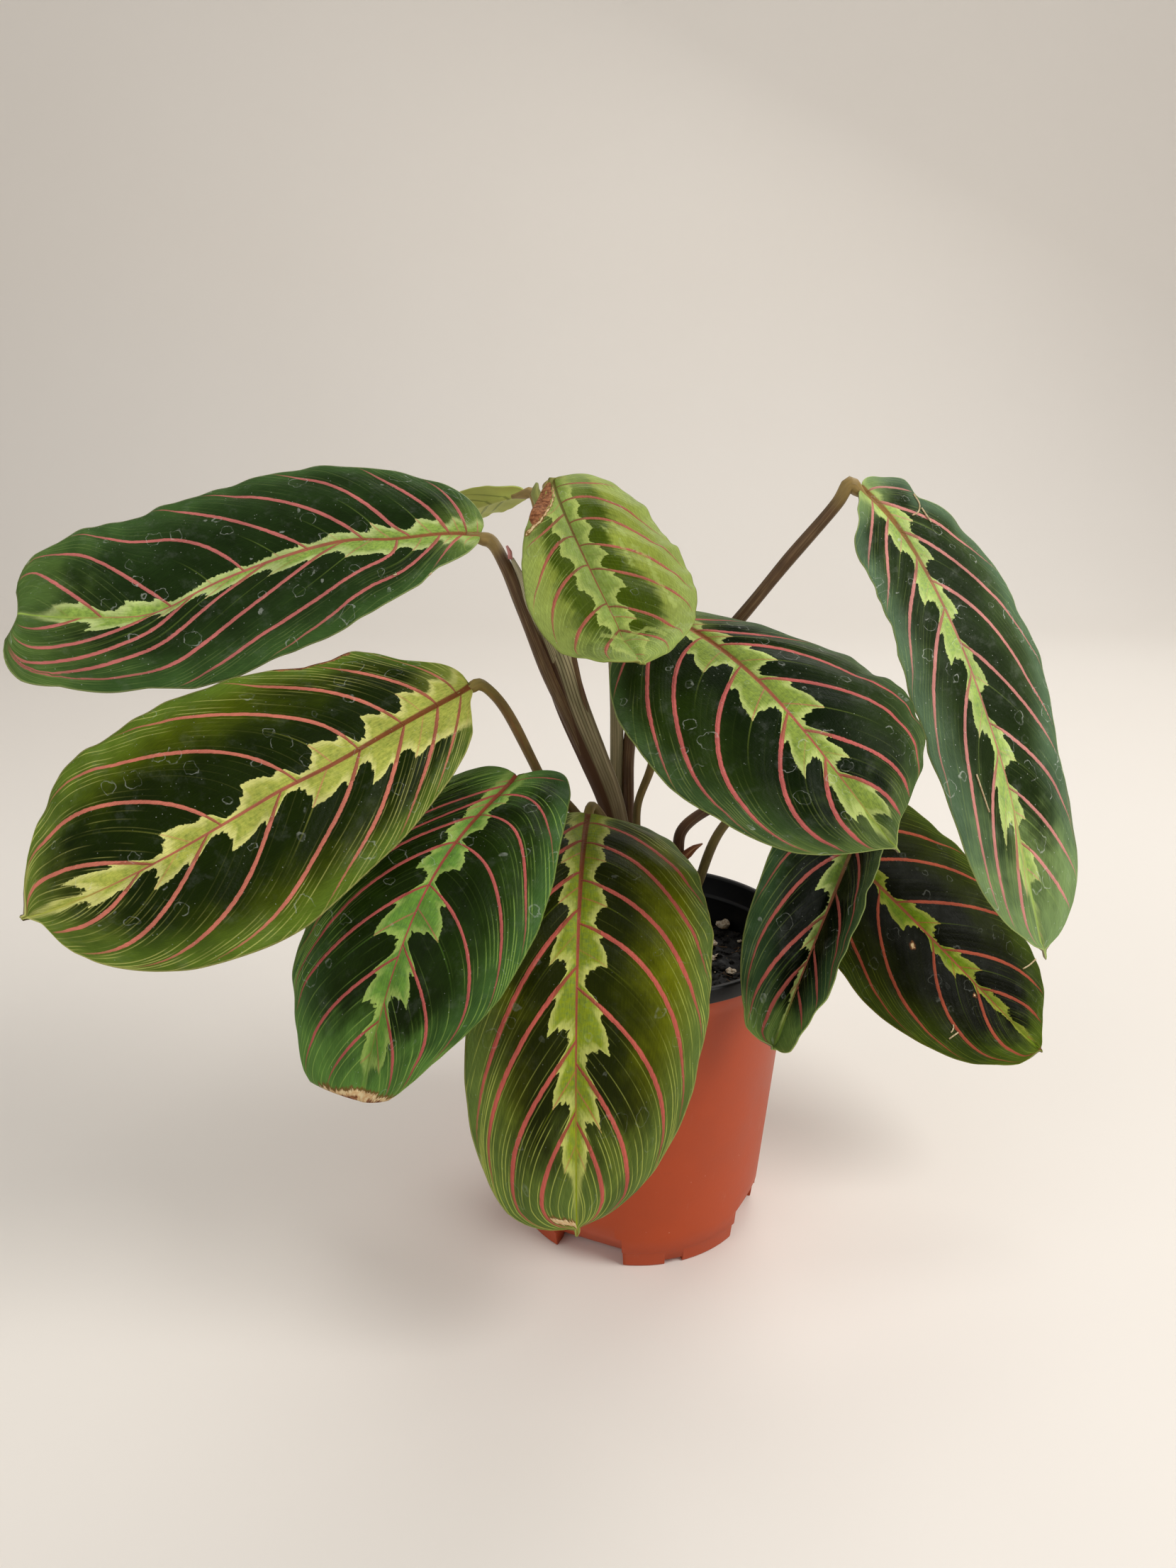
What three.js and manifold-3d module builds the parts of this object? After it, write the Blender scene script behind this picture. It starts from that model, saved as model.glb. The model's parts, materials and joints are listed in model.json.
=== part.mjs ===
// A potted prayer plant: ten leaves on slender stalks, in soil, in a 100 mm nursery pot.
// Millimetres, +Z up. The origin is the centre of the pot's underside, and the front of
// the plant, the side that most leaves face, looks along -Y.

import * as THREE from "three";
import { mergeVertices } from "three/addons/utils/BufferGeometryUtils.js";
import Module from "manifold-3d";

const wasm = await Module();
wasm.setup();

// Driving dimensions
const POT_HEIGHT = 100;
const RIM_RADIUS = 50.2;
const BASE_RADIUS = 40.4;
const WALL = 1.6;
const SOIL_LEVEL = 84;
const STEM_DEPTH = 20;
const COLLAR_HEIGHT = 6;
const BLADE_THICKNESS = 0.8;
const GAP = 0.3;
const POT_SIDES = 48;
const HOLE_SIDES = 14;

const COLOURS = {
  terracotta: 0xa6462a,
  soil: 0x1a1613,
  darkLeaf: 0x24442a,
  oliveLeaf: 0x55701c,
  youngLeaf: 0x86a548,
  redStalk: 0x55301f,
  greenStalk: 0x5d5a2c,
};

const vec = (x, y, z) => new THREE.Vector3(x, y, z);
const radians = THREE.MathUtils.degToRad;
const clamp01 = (t) => THREE.MathUtils.clamp(t, 0, 1);
const sum = (terms) => terms.reduce((total, [v, scale]) => total.addScaledVector(v, scale), vec(0, 0, 0));

// Solids

function toSolid(geometry) {
  const bare = new THREE.BufferGeometry();
  bare.setAttribute("position", geometry.getAttribute("position"));
  if (geometry.index) bare.setIndex(geometry.index);
  const merged = mergeVertices(bare, 1e-3);
  return new wasm.Manifold(
    new wasm.Mesh({
      numProp: 3,
      vertProperties: new Float32Array(merged.attributes.position.array),
      triVerts: new Uint32Array(merged.index.array),
    }),
  );
}

function toGeometry(solid) {
  const mesh = solid.getMesh();
  const geometry = new THREE.BufferGeometry();
  geometry.setAttribute("position", new THREE.BufferAttribute(mesh.vertProperties, 3));
  geometry.setIndex(new THREE.BufferAttribute(mesh.triVerts, 1));
  geometry.computeVertexNormals();
  return geometry;
}

const joined = (solids) => solids.reduce((whole, piece) => whole.add(piece));
const cutBy = (solid, cutters) => cutters.reduce((rest, cutter) => rest.subtract(cutter), solid);

// An upright cylinder from bottom to top, centred on x, y.
function post(x, y, bottom, top, radius) {
  const geometry = new THREE.CylinderGeometry(radius, radius, top - bottom, HOLE_SIDES);
  geometry.rotateX(Math.PI / 2);
  geometry.translate(x, y, (top + bottom) / 2);
  return toSolid(geometry);
}

// A closed skin over rings of equally many points. The first half of a ring is one face
// of the piece and the second half runs back along the other. Both faces are split into
// triangles alike, so those of a thin sheet never cross.
function loft(rings) {
  const count = rings[0].length;
  const half = count / 2;
  const index = [];
  for (let i = 0; i + 1 < rings.length; i++)
    for (let j = 0; j < count; j++) {
      const a = i * count + j;
      const b = i * count + ((j + 1) % count);
      if (j < half) index.push(a, b, b + count, a, b + count, a + count);
      else index.push(a, b, a + count, b, b + count, a + count);
    }
  const end = (rings.length - 1) * count;
  for (let j = 0; j + 1 < half; j++) {
    const [a, b, c, d] = [j, j + 1, count - 2 - j, count - 1 - j];
    index.push(a, c, b, a, d, c);
    index.push(end + a, end + b, end + c, end + a, end + c, end + d);
  }
  const geometry = new THREE.BufferGeometry().setFromPoints(rings.flat());
  geometry.setIndex(index);
  geometry.computeVertexNormals();
  return geometry;
}

// Pot

const FOOT = { inner: 35, height: 5.2, step: 0.6, floorUnder: 1.2, padRadius: 12 };
const RIM = { band: 4.8, lip: 2.2, ledgeDepth: 8, ledge: 0.8, round: 0.6 };
const FLOOR_TOP = 4;
const CORNER = { radius: 33.5, height: 15 };
const ARCH = { count: 4, first: -114, width: 23, height: 3.2, recess: 6, top: 13 };
const NOTCH = { first: -74, width: 6, height: 2 };
const DRAIN = { radius: 3.5, ring: 24 };
const LEDGE_Z = POT_HEIGHT - RIM.ledgeDepth;

// The wall leans out evenly from the foot to the rim, and its inner corner is filled.
const outerRadius = (z) => BASE_RADIUS + ((RIM_RADIUS - 0.5 - BASE_RADIUS) * z) / POT_HEIGHT;

function innerRadius(z) {
  if (z >= CORNER.height) return outerRadius(z) - WALL;
  const rise = (z - FLOOR_TOP) / (CORNER.height - FLOOR_TOP);
  return THREE.MathUtils.lerp(CORNER.radius, outerRadius(CORNER.height) - WALL, rise);
}

function potBody() {
  const footOuter = BASE_RADIUS - FOOT.step;
  const rimInner = RIM_RADIUS - RIM.lip;
  const bandBottom = POT_HEIGHT - RIM.band;
  const profile = [
    [0, 0],
    [FOOT.padRadius, 0],
    [FOOT.padRadius + 1, FOOT.floorUnder],
    [FOOT.inner - 1, FOOT.floorUnder],
    [FOOT.inner, 0],
    [footOuter - RIM.round, 0],
    [footOuter, RIM.round],
    [outerRadius(FOOT.height) - FOOT.step, FOOT.height],
    [outerRadius(FOOT.height + FOOT.step), FOOT.height + FOOT.step],
    [outerRadius(bandBottom), bandBottom],
    [RIM_RADIUS, bandBottom + GAP],
    [RIM_RADIUS, POT_HEIGHT - RIM.round],
    [RIM_RADIUS - RIM.round, POT_HEIGHT],
    [rimInner + RIM.round, POT_HEIGHT],
    [rimInner, POT_HEIGHT - RIM.round],
    [rimInner, LEDGE_Z + RIM.ledge],
    [rimInner - RIM.ledge, LEDGE_Z],
    [innerRadius(LEDGE_Z - 1), LEDGE_Z - 1],
    [innerRadius(CORNER.height), CORNER.height],
    [CORNER.radius, FLOOR_TOP],
    [0, FLOOR_TOP],
  ];
  const geometry = new THREE.LatheGeometry(
    profile.map(([r, z]) => new THREE.Vector2(r, z)),
    POT_SIDES,
  );
  geometry.rotateX(Math.PI / 2);
  return toSolid(geometry);
}

// A block across the foot at an angle round the pot, from its outline seen from the side.
function footCutter(angle, width, outline) {
  const shape = new THREE.Shape(outline.map(([r, z]) => new THREE.Vector2(r, z)));
  const geometry = new THREE.ExtrudeGeometry(shape, { depth: width, bevelEnabled: false });
  geometry.translate(0, 0, -width / 2);
  geometry.rotateX(Math.PI / 2);
  geometry.rotateZ(radians(angle));
  return toSolid(geometry);
}

// Four wide arches with a slanting recess above, four small notches and four drain holes.
function pot() {
  const outside = RIM_RADIUS + 1;
  const inside = FOOT.inner - 3;
  const below = -1;
  const cutters = [];
  for (let i = 0; i < ARCH.count; i++) {
    const turn = (360 / ARCH.count) * i;
    const drain = radians(ARCH.first + turn);
    cutters.push(
      footCutter(ARCH.first + turn, ARCH.width, [
        [inside, below],
        [outside, below],
        [outside, ARCH.top],
        [outerRadius(ARCH.top), ARCH.top],
        [outerRadius(ARCH.height) - ARCH.recess, ARCH.height],
        [inside, ARCH.height / 2],
      ]),
      footCutter(NOTCH.first + turn, NOTCH.width, [
        [inside, below],
        [outside, below],
        [outside, NOTCH.height],
        [inside, NOTCH.height],
      ]),
      post(
        DRAIN.ring * Math.cos(drain),
        DRAIN.ring * Math.sin(drain),
        below,
        FLOOR_TOP + 1,
        DRAIN.radius,
      ),
    );
  }
  return toGeometry(cutBy(potBody(), cutters));
}

// Leaves

// A half of a blade, seen from above with the tip ahead: its half width, where along the
// midrib it is widest, how full its base and tip are, how many degrees it rises from the
// midrib, how many it turns down again by the edge, how blunt its two ends are, and how
// far its margin runs on towards the tip.
function half(width, widest, full, rise, droop, blunt = [0.5, 0.5], beyond = 0) {
  return { width, widest, full, rise, droop, blunt, beyond };
}

// midrib: four evenly spaced points from the base to the tip. facing: where the upper
// face looks at the base and at the tip. wave: its height, number and
// start. lobe: how far the corners of the base reach back past the stalk.
const LEAVES = {
  upper_left: {
    colour: "darkLeaf",
    midrib: [[-47, -2, 222], [-90, -8, 220], [-129, -20, 206], [-170, -36, 205]],
    facing: [[0, -0.62, 0.78], [-0.1, -0.8, 0.6]],
    left: half(32.5, 0.5, [1.6, 2.8], 12, 26, [0.5, 0.33], 3),
    right: half(36, 0.52, [1.8, 3], 10, 26, [0.5, 0.42], 2),
    wave: [0.5, 4, 0],
    lobe: 3,
  },
  middle_left: {
    colour: "oliveLeaf",
    midrib: [[-48, -35, 185], [-84, -60, 170], [-117, -82, 154], [-148, -95, 143]],
    facing: [[0.1, -0.75, 0.66], [0.1, -0.85, 0.5]],
    left: half(32.5, 0.53, [1.5, 2], 8, 22, [0.5, 0.85]),
    right: half(37, 0.52, [1.7, 2.4], 5, 20, [0.5, 0.55]),
    wave: [1, 4, 0.3],
    lobe: 2,
  },
  lower_left: {
    colour: "darkLeaf",
    midrib: [[-35.7, -36, 160], [-50.8, -61, 149], [-62.8, -78, 128], [-76, -86, 81]],
    facing: [[-0.1, -0.6, 0.8], [-0.2, -0.9, 0.3]],
    left: half(30.6, 0.5, [2, 2.4], 8, 25, [0.5, 0.62], -6),
    right: half(27.8, 0.65, [2.2, 3.5], 8, 30, [0.5, 0.5], 1),
    wave: [0.8, 3, 0.1],
    lobe: 3,
    cut: 0.97,
  },
  front: {
    colour: "oliveLeaf",
    midrib: [[-16, -22, 144], [-18, -55, 135], [-19, -75, 104], [-19, -80, 43]],
    facing: [[0.05, -0.5, 0.86], [0.1, -1, 0.1]],
    left: half(36, 0.5, [2.4, 2.7], 8, 25),
    right: half(28.7, 0.7, [2, 3.7], 8, 25, [0.5, 0.57], 2.5),
    wave: [0.8, 3, 0.5],
    lobe: 3,
  },
  young: {
    colour: "youngLeaf",
    midrib: [[-26, -5, 238], [-19, -25, 223], [-10, -45, 207], [-3, -60, 194]],
    facing: [[0.1, -0.5, 0.86], [0.1, -0.7, 0.7]],
    left: half(26.5, 0.5, [2.6, 2.2], 8, 25, [0.5, 0.8]),
    right: half(20, 0.58, [1.4, 2], 8, 25, [0.9, 0.8]),
    wave: [0.6, 3, 0.5],
    lobe: 2,
  },
  centre_right: {
    colour: "darkLeaf",
    midrib: [[6, -12, 201], [27, -40, 190], [43, -60, 174], [61, -75, 152]],
    facing: [[-0.1, -0.5, 0.86], [-0.1, -0.7, 0.7]],
    left: half(37.5, 0.6, [1.5, 2.2], 3, 45, [0.5, 0.85]),
    right: half(38, 0.42, [2.8, 2], 5, 15, [0.5, 0.65]),
    wave: [0.8, 3, 0.2],
    lobe: 3,
  },
  far_right: {
    colour: "darkLeaf",
    midrib: [[62, 0, 235], [85, -4, 209], [100, -20, 170], [117, -36, 104]],
    facing: [[0.52, -0.75, 0.5], [0.52, -0.8, 0.3]],
    left: half(29.5, 0.58, [1.5, 3], 12, 22),
    right: half(25, 0.5, [1.7, 3], 4, 25),
    wave: [0.9, 4, 0.2],
    lobe: 3,
  },
  low_right: {
    colour: "oliveLeaf",
    midrib: [[54, 15, 130], [84, 15, 103], [112, 5, 76], [133, -5, 56]],
    facing: [[-0.1, -0.6, 0.86], [0.1, -0.7, 0.7]],
    left: half(35, 0.42, [2.6, 1.9], 8, 25, [0.5, 0.7]),
    right: half(33, 0.45, [2, 2], 8, 25, [0.5, 0.7]),
    wave: [0.8, 3, 0.2],
    lobe: 3,
  },
  folded: {
    colour: "darkLeaf",
    midrib: [[67, -8, 135], [58, -26, 126], [46, -45, 109], [36, -54, 85]],
    facing: [[-0.5, -0.8, 0.3], [-0.5, -0.8, 0.1]],
    left: half(20, 0.45, [2.2, 2], 44, 0),
    right: half(21, 0.4, [2.6, 2.2], 35, 15),
    wave: [0.6, 3, 0.2],
    lobe: 1,
  },
  rolled: {
    colour: "youngLeaf",
    midrib: [[-35, 16, 233], [-54, 28, 227], [-70, 42, 219], [-84, 56, 209]],
    facing: [[-0.2, 0.9, 0.35], [-0.2, 0.9, 0.35]],
    left: half(6.5, 0.5, [1.8, 2], 10, 10),
    right: half(12, 0.5, [1.8, 2], 40, 10),
    wave: [0.5, 3, 0.2],
    lobe: 0.5,
  },
};

const BLADE_ROWS = 20;
const BLADE_COLUMNS = 8;
const EDGE_WIDTH = 0.4;
const TIP_POINT = { start: 0.9, rise: 0.05, width: 1.5 };
const BLADE_END = 0.985;
const WAVE_SHIFT = 1.9;

// A cubic curve through four points at even steps.
function midribCurve(midrib) {
  const [p0, p1, p2, p3] = midrib.map((p) => vec(...p));
  const leave = sum([[p0, -5 / 6], [p1, 3], [p2, -3 / 2], [p3, 1 / 3]]);
  const arrive = sum([[p0, 1 / 3], [p1, -3 / 2], [p2, 3], [p3, -5 / 6]]);
  return new THREE.CubicBezierCurve3(p0, leave, arrive, p3);
}

// The share of a half's width at u along the midrib.
function fullness({ widest, full, blunt }, u) {
  const [base, tip] = u < widest ? [widest - u, 0] : [0, u - widest];
  const share = base > 0 ? base / widest : clamp01(tip / (BLADE_END - widest));
  const end = base > 0 ? 0 : 1;
  return Math.pow(1 - Math.pow(share, full[end]), blunt[end]);
}

// The point at u along the midrib and v across, -1 to 1, with the blade's normal there.
function bladePoint(leaf, curve, u, v) {
  const along = curve.getTangent(u);
  const facing = vec(...leaf.facing[0]).lerp(vec(...leaf.facing[1]), u);
  const across = along.clone().cross(facing).normalize();
  const up = across.clone().cross(along);
  const part = v > 0 ? leaf.right : leaf.left;
  const sign = v > 0 ? 1 : -1;
  const out = Math.abs(v);
  const share = fullness(part, u);
  const point = clamp01((1 - u) / TIP_POINT.rise) * clamp01((u - TIP_POINT.start) / TIP_POINT.rise);
  const width = part.width * share + TIP_POINT.width * point + EDGE_WIDTH;
  const rise = radians(part.rise);
  const turn = radians(part.droop || 0.01);
  const lean = rise - turn * out;
  const [height, count, start] = leaf.wave;
  const phase = 2 * Math.PI * (count * u + start) + (v > 0 ? 0 : WAVE_SHIFT);
  const wave = height * out * out * Math.sin(phase);
  const reach = u < part.widest ? -leaf.lobe : part.beyond;
  const slide = reach * Math.sin(Math.PI * share) * Math.pow(out, 1.5);
  const position = sum([
    [curve.getPoint(u), 1],
    [across, (sign * width * (Math.sin(rise) - Math.sin(lean))) / turn],
    [up, (width * (Math.cos(lean) - Math.cos(rise))) / turn + wave],
    [along, slide],
  ]);
  const normal = out === 0 ? up : sum([[up, Math.cos(lean)], [across, -sign * Math.sin(lean)]]);
  return { position, normal };
}

function blade(leaf) {
  const curve = midribCurve(leaf.midrib);
  const end = leaf.cut ?? 1;
  const rings = [];
  for (let i = 0; i <= BLADE_ROWS; i++) {
    const u = (end * (1 - Math.cos((Math.PI * i) / BLADE_ROWS))) / 2;
    const upper = [];
    const lower = [];
    for (let j = 0; j <= BLADE_COLUMNS; j++) {
      const { position, normal } = bladePoint(leaf, curve, u, (2 * j) / BLADE_COLUMNS - 1);
      upper.push(sum([[position, 1], [normal, BLADE_THICKNESS / 2]]));
      lower.unshift(sum([[position, 1], [normal, -BLADE_THICKNESS / 2]]));
    }
    rings.push(upper.concat(lower));
  }
  return loft(rings);
}

// Stalks

const STALK_SIDES = 8;
const JOINT_GAP = 0.7;
const COLLAR = 3;
const SWELLING = { length: 7, extra: 0.35 };

// route: points between the soil and the leaf. Each shoot may carry more than one stalk.
const SHOOTS = {
  shoot_left: {
    colour: "redStalk",
    stalks: [
      {
        leaf: "upper_left",
        root: [4, -3],
        radius: 1.9,
        route: [[-3, -2, 115], [-11, 1, 141], [-17, 0, 157], [-30, -4, 190], [-39, -7, 215]],
      },
      {
        leaf: "rolled",
        radius: 1.4,
        route: [[-16, 0, 164], [-20, 1, 182], [-24, 5, 200], [-28, 10, 215], [-31, 13, 228]],
      },
    ],
    sheaths: [
      { spine: [[3, -3, 95], [-3, -1, 115], [-9, 1, 141], [-16, 0, 163], [-22, 1, 183]],
        widths: [2, 2.8, 3.7, 4.4, 4.9] },
      { spine: [[-19, 0, 172], [-26, -2, 190], [-33, -4, 207], [-37, -5, 218]],
        widths: [3, 2.4, 1.7, 0.7] },
    ],
  },
  shoot_back: {
    colour: "redStalk",
    stalks: [
      {
        leaf: "young",
        root: [-7, 9],
        radius: 2,
        route: [[-7, 10, 136], [-7, 12, 167], [-10, 16, 200], [-15, 15, 221], [-22, 7, 231.5]],
      },
      {
        leaf: "far_right",
        root: [-2.8, 10],
        radius: 1.9,
        route: [[-3, 10, 136], [-1, 11, 158], [11.5, 10, 175], [28.5, 5, 195.5], [43, 3, 214.5], [56, 1, 231]],
      },
    ],
    sheaths: [],
  },
  stalk_centre_right: {
    colour: "greenStalk",
    stalks: [
      {
        leaf: "centre_right",
        root: [4, 3],
        radius: 1.3,
        route: [[1, 4, 115], [-0.5, 4, 137], [4, 4, 152], [7, 0, 185]],
      },
    ],
    sheaths: [],
  },
  stalk_low_right: {
    colour: "redStalk",
    stalks: [
      {
        leaf: "low_right",
        root: [12, 6],
        radius: 1.8,
        route: [[12, 8, 112], [13, 8, 120], [14, 8, 128], [23, 12, 134], [37, 14, 138]],
      },
    ],
    sheaths: [],
    bract: { foot: [13, 8, 119], tip: [20, 6, 124], radius: 0.9 },
  },
  stalk_folded: {
    colour: "greenStalk",
    stalks: [
      {
        leaf: "folded",
        root: [11, -4],
        radius: 1.5,
        route: [[18, -4, 113], [26, -4, 134], [45, 0, 148], [64, 5, 145]],
      },
    ],
    sheaths: [],
  },
  stalk_middle_left: {
    colour: "greenStalk",
    stalks: [
      {
        leaf: "middle_left",
        root: [-10, -6],
        radius: 1.5,
        route: [[-14, -8, 110], [-32, -19, 159], [-41, -29, 180]],
      },
    ],
    sheaths: [],
  },
  stalk_lower_left: {
    colour: "greenStalk",
    stalks: [
      {
        leaf: "lower_left",
        root: [-4, -10],
        radius: 1.5,
        route: [[-7, -9, 110], [-17, -10, 136], [-25, -17, 148], [-31, -27, 154]],
      },
    ],
    sheaths: [],
  },
  stalk_front: {
    colour: "greenStalk",
    stalks: [
      {
        leaf: "front",
        root: [3, -12],
        radius: 1.5,
        route: [[-2, -12, 115], [-11, -12, 138], [-15, -15, 144]],
      },
    ],
    sheaths: [],
  },
};

// A round bar along a smooth curve through the points.
function bar(points, radius, steps) {
  const circle = new THREE.Shape().absarc(0, 0, radius, 0, 2 * Math.PI);
  const extrudePath = new THREE.CatmullRomCurve3(points, false, "centripetal");
  return toSolid(
    new THREE.ExtrudeGeometry(circle, { steps, extrudePath, curveSegments: STALK_SIDES / 2 }),
  );
}

// Upright in the soil, along its route, and straight into the base of its leaf, where it
// swells into the joint that turns the blade.
function stalk({ leaf, root, radius, route }) {
  const curve = midribCurve(LEAVES[leaf].midrib);
  const base = curve.getPoint(0);
  const along = curve.getTangent(0);
  const collar = sum([[base, 1], [along, -COLLAR]]);
  const joint = sum([[base, 1], [along, -JOINT_GAP]]);
  const foot = root
    ? [SOIL_LEVEL - STEM_DEPTH, SOIL_LEVEL, SOIL_LEVEL + COLLAR_HEIGHT].map((z) => vec(...root, z))
    : [];
  const points = [...foot, ...route.map((p) => vec(...p)), collar, joint];
  const back = vec(...route.at(-1)).sub(collar).setLength(SWELLING.length);
  const knee = collar.clone().add(back);
  const steps = 2 * points.length;
  return bar(points, radius, steps).add(bar([knee, collar, joint], radius + SWELLING.extra, 3));
}

// A flattened sheath that wraps a stalk, as wide as given at each point of its spine.
function sheath({ spine, widths }) {
  const points = spine.map((p) => vec(...p));
  const curve = new THREE.CatmullRomCurve3(points);
  const steps = 3 * (spine.length - 1);
  const rings = [];
  for (let i = 0; i <= steps; i++) {
    const t = i / steps;
    const along = curve.getTangent(t);
    const across = along.clone().cross(vec(0, -1, 0)).normalize();
    const front = across.clone().cross(along);
    const place = t * (spine.length - 1);
    const low = Math.min(Math.floor(place), spine.length - 2);
    const width = THREE.MathUtils.lerp(widths[low], widths[low + 1], place - low);
    const depth = Math.min(1.6, width);
    const ring = [];
    for (let k = 0; k < STALK_SIDES; k++) {
      const angle = (2 * Math.PI * (k + 0.5)) / STALK_SIDES;
      ring.push(
        sum([
          [curve.getPoint(t), 1],
          [across, -width * Math.cos(angle)],
          [front, depth * Math.sin(angle)],
        ]),
      );
    }
    rings.push(ring);
  }
  return toSolid(loft(rings));
}

// A dry pointed scale, left where an old leaf was.
function bract({ foot, tip, radius }) {
  const start = vec(...foot);
  const reach = vec(...tip).sub(start);
  const geometry = new THREE.ConeGeometry(radius, reach.length(), 6);
  geometry.translate(0, reach.length() / 2, 0);
  geometry.applyQuaternion(new THREE.Quaternion().setFromUnitVectors(vec(0, 1, 0), reach.normalize()));
  geometry.translate(start.x, start.y, start.z);
  return toSolid(geometry);
}

function shoot({ stalks, sheaths, bract: scale }) {
  const pieces = [...stalks.map(stalk), ...sheaths.map(sheath)];
  if (scale) pieces.push(bract(scale));
  return toGeometry(joined(pieces));
}

// Soil

const SOIL_RINGS = [0, 8, 16, 24, 32, 40];
const SOIL_SECTORS = 30;
const MOUND = { height: 2.2, radius: 22 };
const LUMPS = { height: 0.8, broad: 0.32, fine: 0.55, fineShare: 0.6 };

// Loose crumbs and hollows, a little higher round the stems.
function soilHeight(x, y) {
  const mound = MOUND.height * Math.exp(-(x * x + y * y) / MOUND.radius ** 2);
  const broad = Math.sin(LUMPS.broad * x + 1) * Math.cos(LUMPS.broad * y);
  const fine = LUMPS.fineShare * Math.sin(LUMPS.fine * (x - y) + 2);
  return SOIL_LEVEL - 1 + mound + LUMPS.height * (broad + fine);
}

function soil() {
  const bottom = FLOOR_TOP + GAP;
  const wallTop = SOIL_LEVEL - 4;
  const wallHeights = [bottom, CORNER.height, wallTop];
  const edge = innerRadius(wallTop) - GAP;
  const profile = [
    [0, bottom],
    ...wallHeights.map((z) => [innerRadius(z) - 2 * GAP, z]),
    [edge, SOIL_LEVEL],
    ...SOIL_RINGS.toReversed().map((r) => [r, SOIL_LEVEL]),
  ];
  const geometry = new THREE.LatheGeometry(
    profile.map(([r, z]) => new THREE.Vector2(r, z)),
    SOIL_SECTORS,
  );
  geometry.rotateX(Math.PI / 2);
  const place = geometry.getAttribute("position");
  for (let i = 0; i < place.count; i++)
    if (place.getZ(i) > SOIL_LEVEL - 1) place.setZ(i, soilHeight(place.getX(i), place.getY(i)));
  const holes = Object.values(SHOOTS).flatMap(({ stalks }) =>
    stalks
      .filter(({ root }) => root)
      .map(({ root, radius }) =>
        post(...root, SOIL_LEVEL - STEM_DEPTH - GAP, SOIL_LEVEL + COLLAR_HEIGHT, radius + 2 * GAP),
      ),
  );
  return toGeometry(cutBy(toSolid(geometry), holes));
}

// The whole plant

function mesh(name, geometry, colour, roughness) {
  const material = new THREE.MeshStandardMaterial({ color: COLOURS[colour], roughness, metalness: 0 });
  const made = new THREE.Mesh(geometry, material);
  made.name = name;
  return made;
}

const plant = new THREE.Group();
plant.add(mesh("pot", pot(), "terracotta", 0.45), mesh("soil", soil(), "soil", 0.95));

const stalks = new THREE.Group();
for (const [name, made] of Object.entries(SHOOTS))
  stalks.add(mesh(name, shoot(made), made.colour, 0.5));
plant.add(stalks);

const leaves = new THREE.Group();
for (const [name, leaf] of Object.entries(LEAVES))
  leaves.add(mesh(`leaf_${name}`, blade(leaf), leaf.colour, 0.4));
plant.add(leaves);

export default plant;
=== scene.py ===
"""A potted maranta, the prayer plant with red herring-bone veins, in a terracotta nursery pot.

The tables are in millimetres and the scene is in metres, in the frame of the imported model:
the origin under the middle of the pot, Z up, and -Y towards the side that most leaves face.
"""
import json
import math
import random
from types import SimpleNamespace

import bpy
import numpy as np
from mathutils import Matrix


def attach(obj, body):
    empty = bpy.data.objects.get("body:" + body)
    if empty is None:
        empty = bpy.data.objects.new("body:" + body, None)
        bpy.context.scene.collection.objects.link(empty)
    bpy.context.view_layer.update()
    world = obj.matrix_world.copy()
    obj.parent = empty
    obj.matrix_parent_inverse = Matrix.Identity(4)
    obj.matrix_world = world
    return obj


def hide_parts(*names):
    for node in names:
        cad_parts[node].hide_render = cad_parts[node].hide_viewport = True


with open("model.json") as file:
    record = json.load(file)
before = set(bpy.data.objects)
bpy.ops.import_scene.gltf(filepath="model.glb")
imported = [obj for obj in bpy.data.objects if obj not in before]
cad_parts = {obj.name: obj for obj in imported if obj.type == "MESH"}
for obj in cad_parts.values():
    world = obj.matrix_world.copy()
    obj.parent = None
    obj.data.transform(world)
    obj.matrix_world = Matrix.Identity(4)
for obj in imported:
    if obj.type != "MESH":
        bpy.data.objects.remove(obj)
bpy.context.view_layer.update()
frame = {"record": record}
SLOTS = {row["node"]: row["material_slot"] for row in frame["record"]["subparts"]}

MM = 0.001

# Camera, worked out from the ellipses of the pot's rim and foot in the photograph
PHOTO_HEIGHT = 2212
FOCAL_PIXELS = 1660
SENSOR = 36
CAMERA_PLACE = (-16, -347, 255)
CAMERA_PITCH = 17.4

# The pot's driving dimensions
POT_HEIGHT = 100
RIM_RADIUS = 50.2
BASE_RADIUS = 40.4
WALL = 1.6
RIM_STEP = 0.5
BAND_HEIGHT = 4.8
LIP = 2.2
LEDGE_DEPTH = 8
LEDGE = 0.8
FLOOR_TOP = 4
CORNER_RADIUS = 33.5
CORNER_HEIGHT = 15
FOOT_HEIGHT = 5.2
FOOT_STEP = 0.6
FOOT_INNER = 35
PAD_RADIUS = 12
PAD_LIFT = 1.2
POT_SIDES = 192
SOIL_LEVEL = 84

# The cutters of the pot's foot: arches with a drain hole inside each, and small notches
CUT_INNER = 32
CUT_BOTTOM = -1
ARCH_ANGLE = -114
ARCH_WIDTH = 23
ARCH_HEIGHT = 13
ARCH_STEP = 3.2
ARCH_DEPTH = 6
NOTCH_ANGLE = -74
NOTCH_WIDTH = 6
NOTCH_HEIGHT = 2
DRAIN_PLACE = 24
DRAIN_RADIUS = 3.5
DRAIN_SIDES = 28

# The soil's mesh, its gap to the pot, the heights of the rings down its side, and how many
# random heights, crumbs, perlite grains and fibres it has
SOIL_RINGS = 76
SOIL_SIDES = 240
SOIL_GAP = 0.3
SOIL_SIDE_HEIGHTS = (70, 40, CORNER_HEIGHT, FLOOR_TOP + 1)
LATTICE = 128
CRUMBS = 1300
PERLITE_GRAINS = 80
FIBRES = 140

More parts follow.
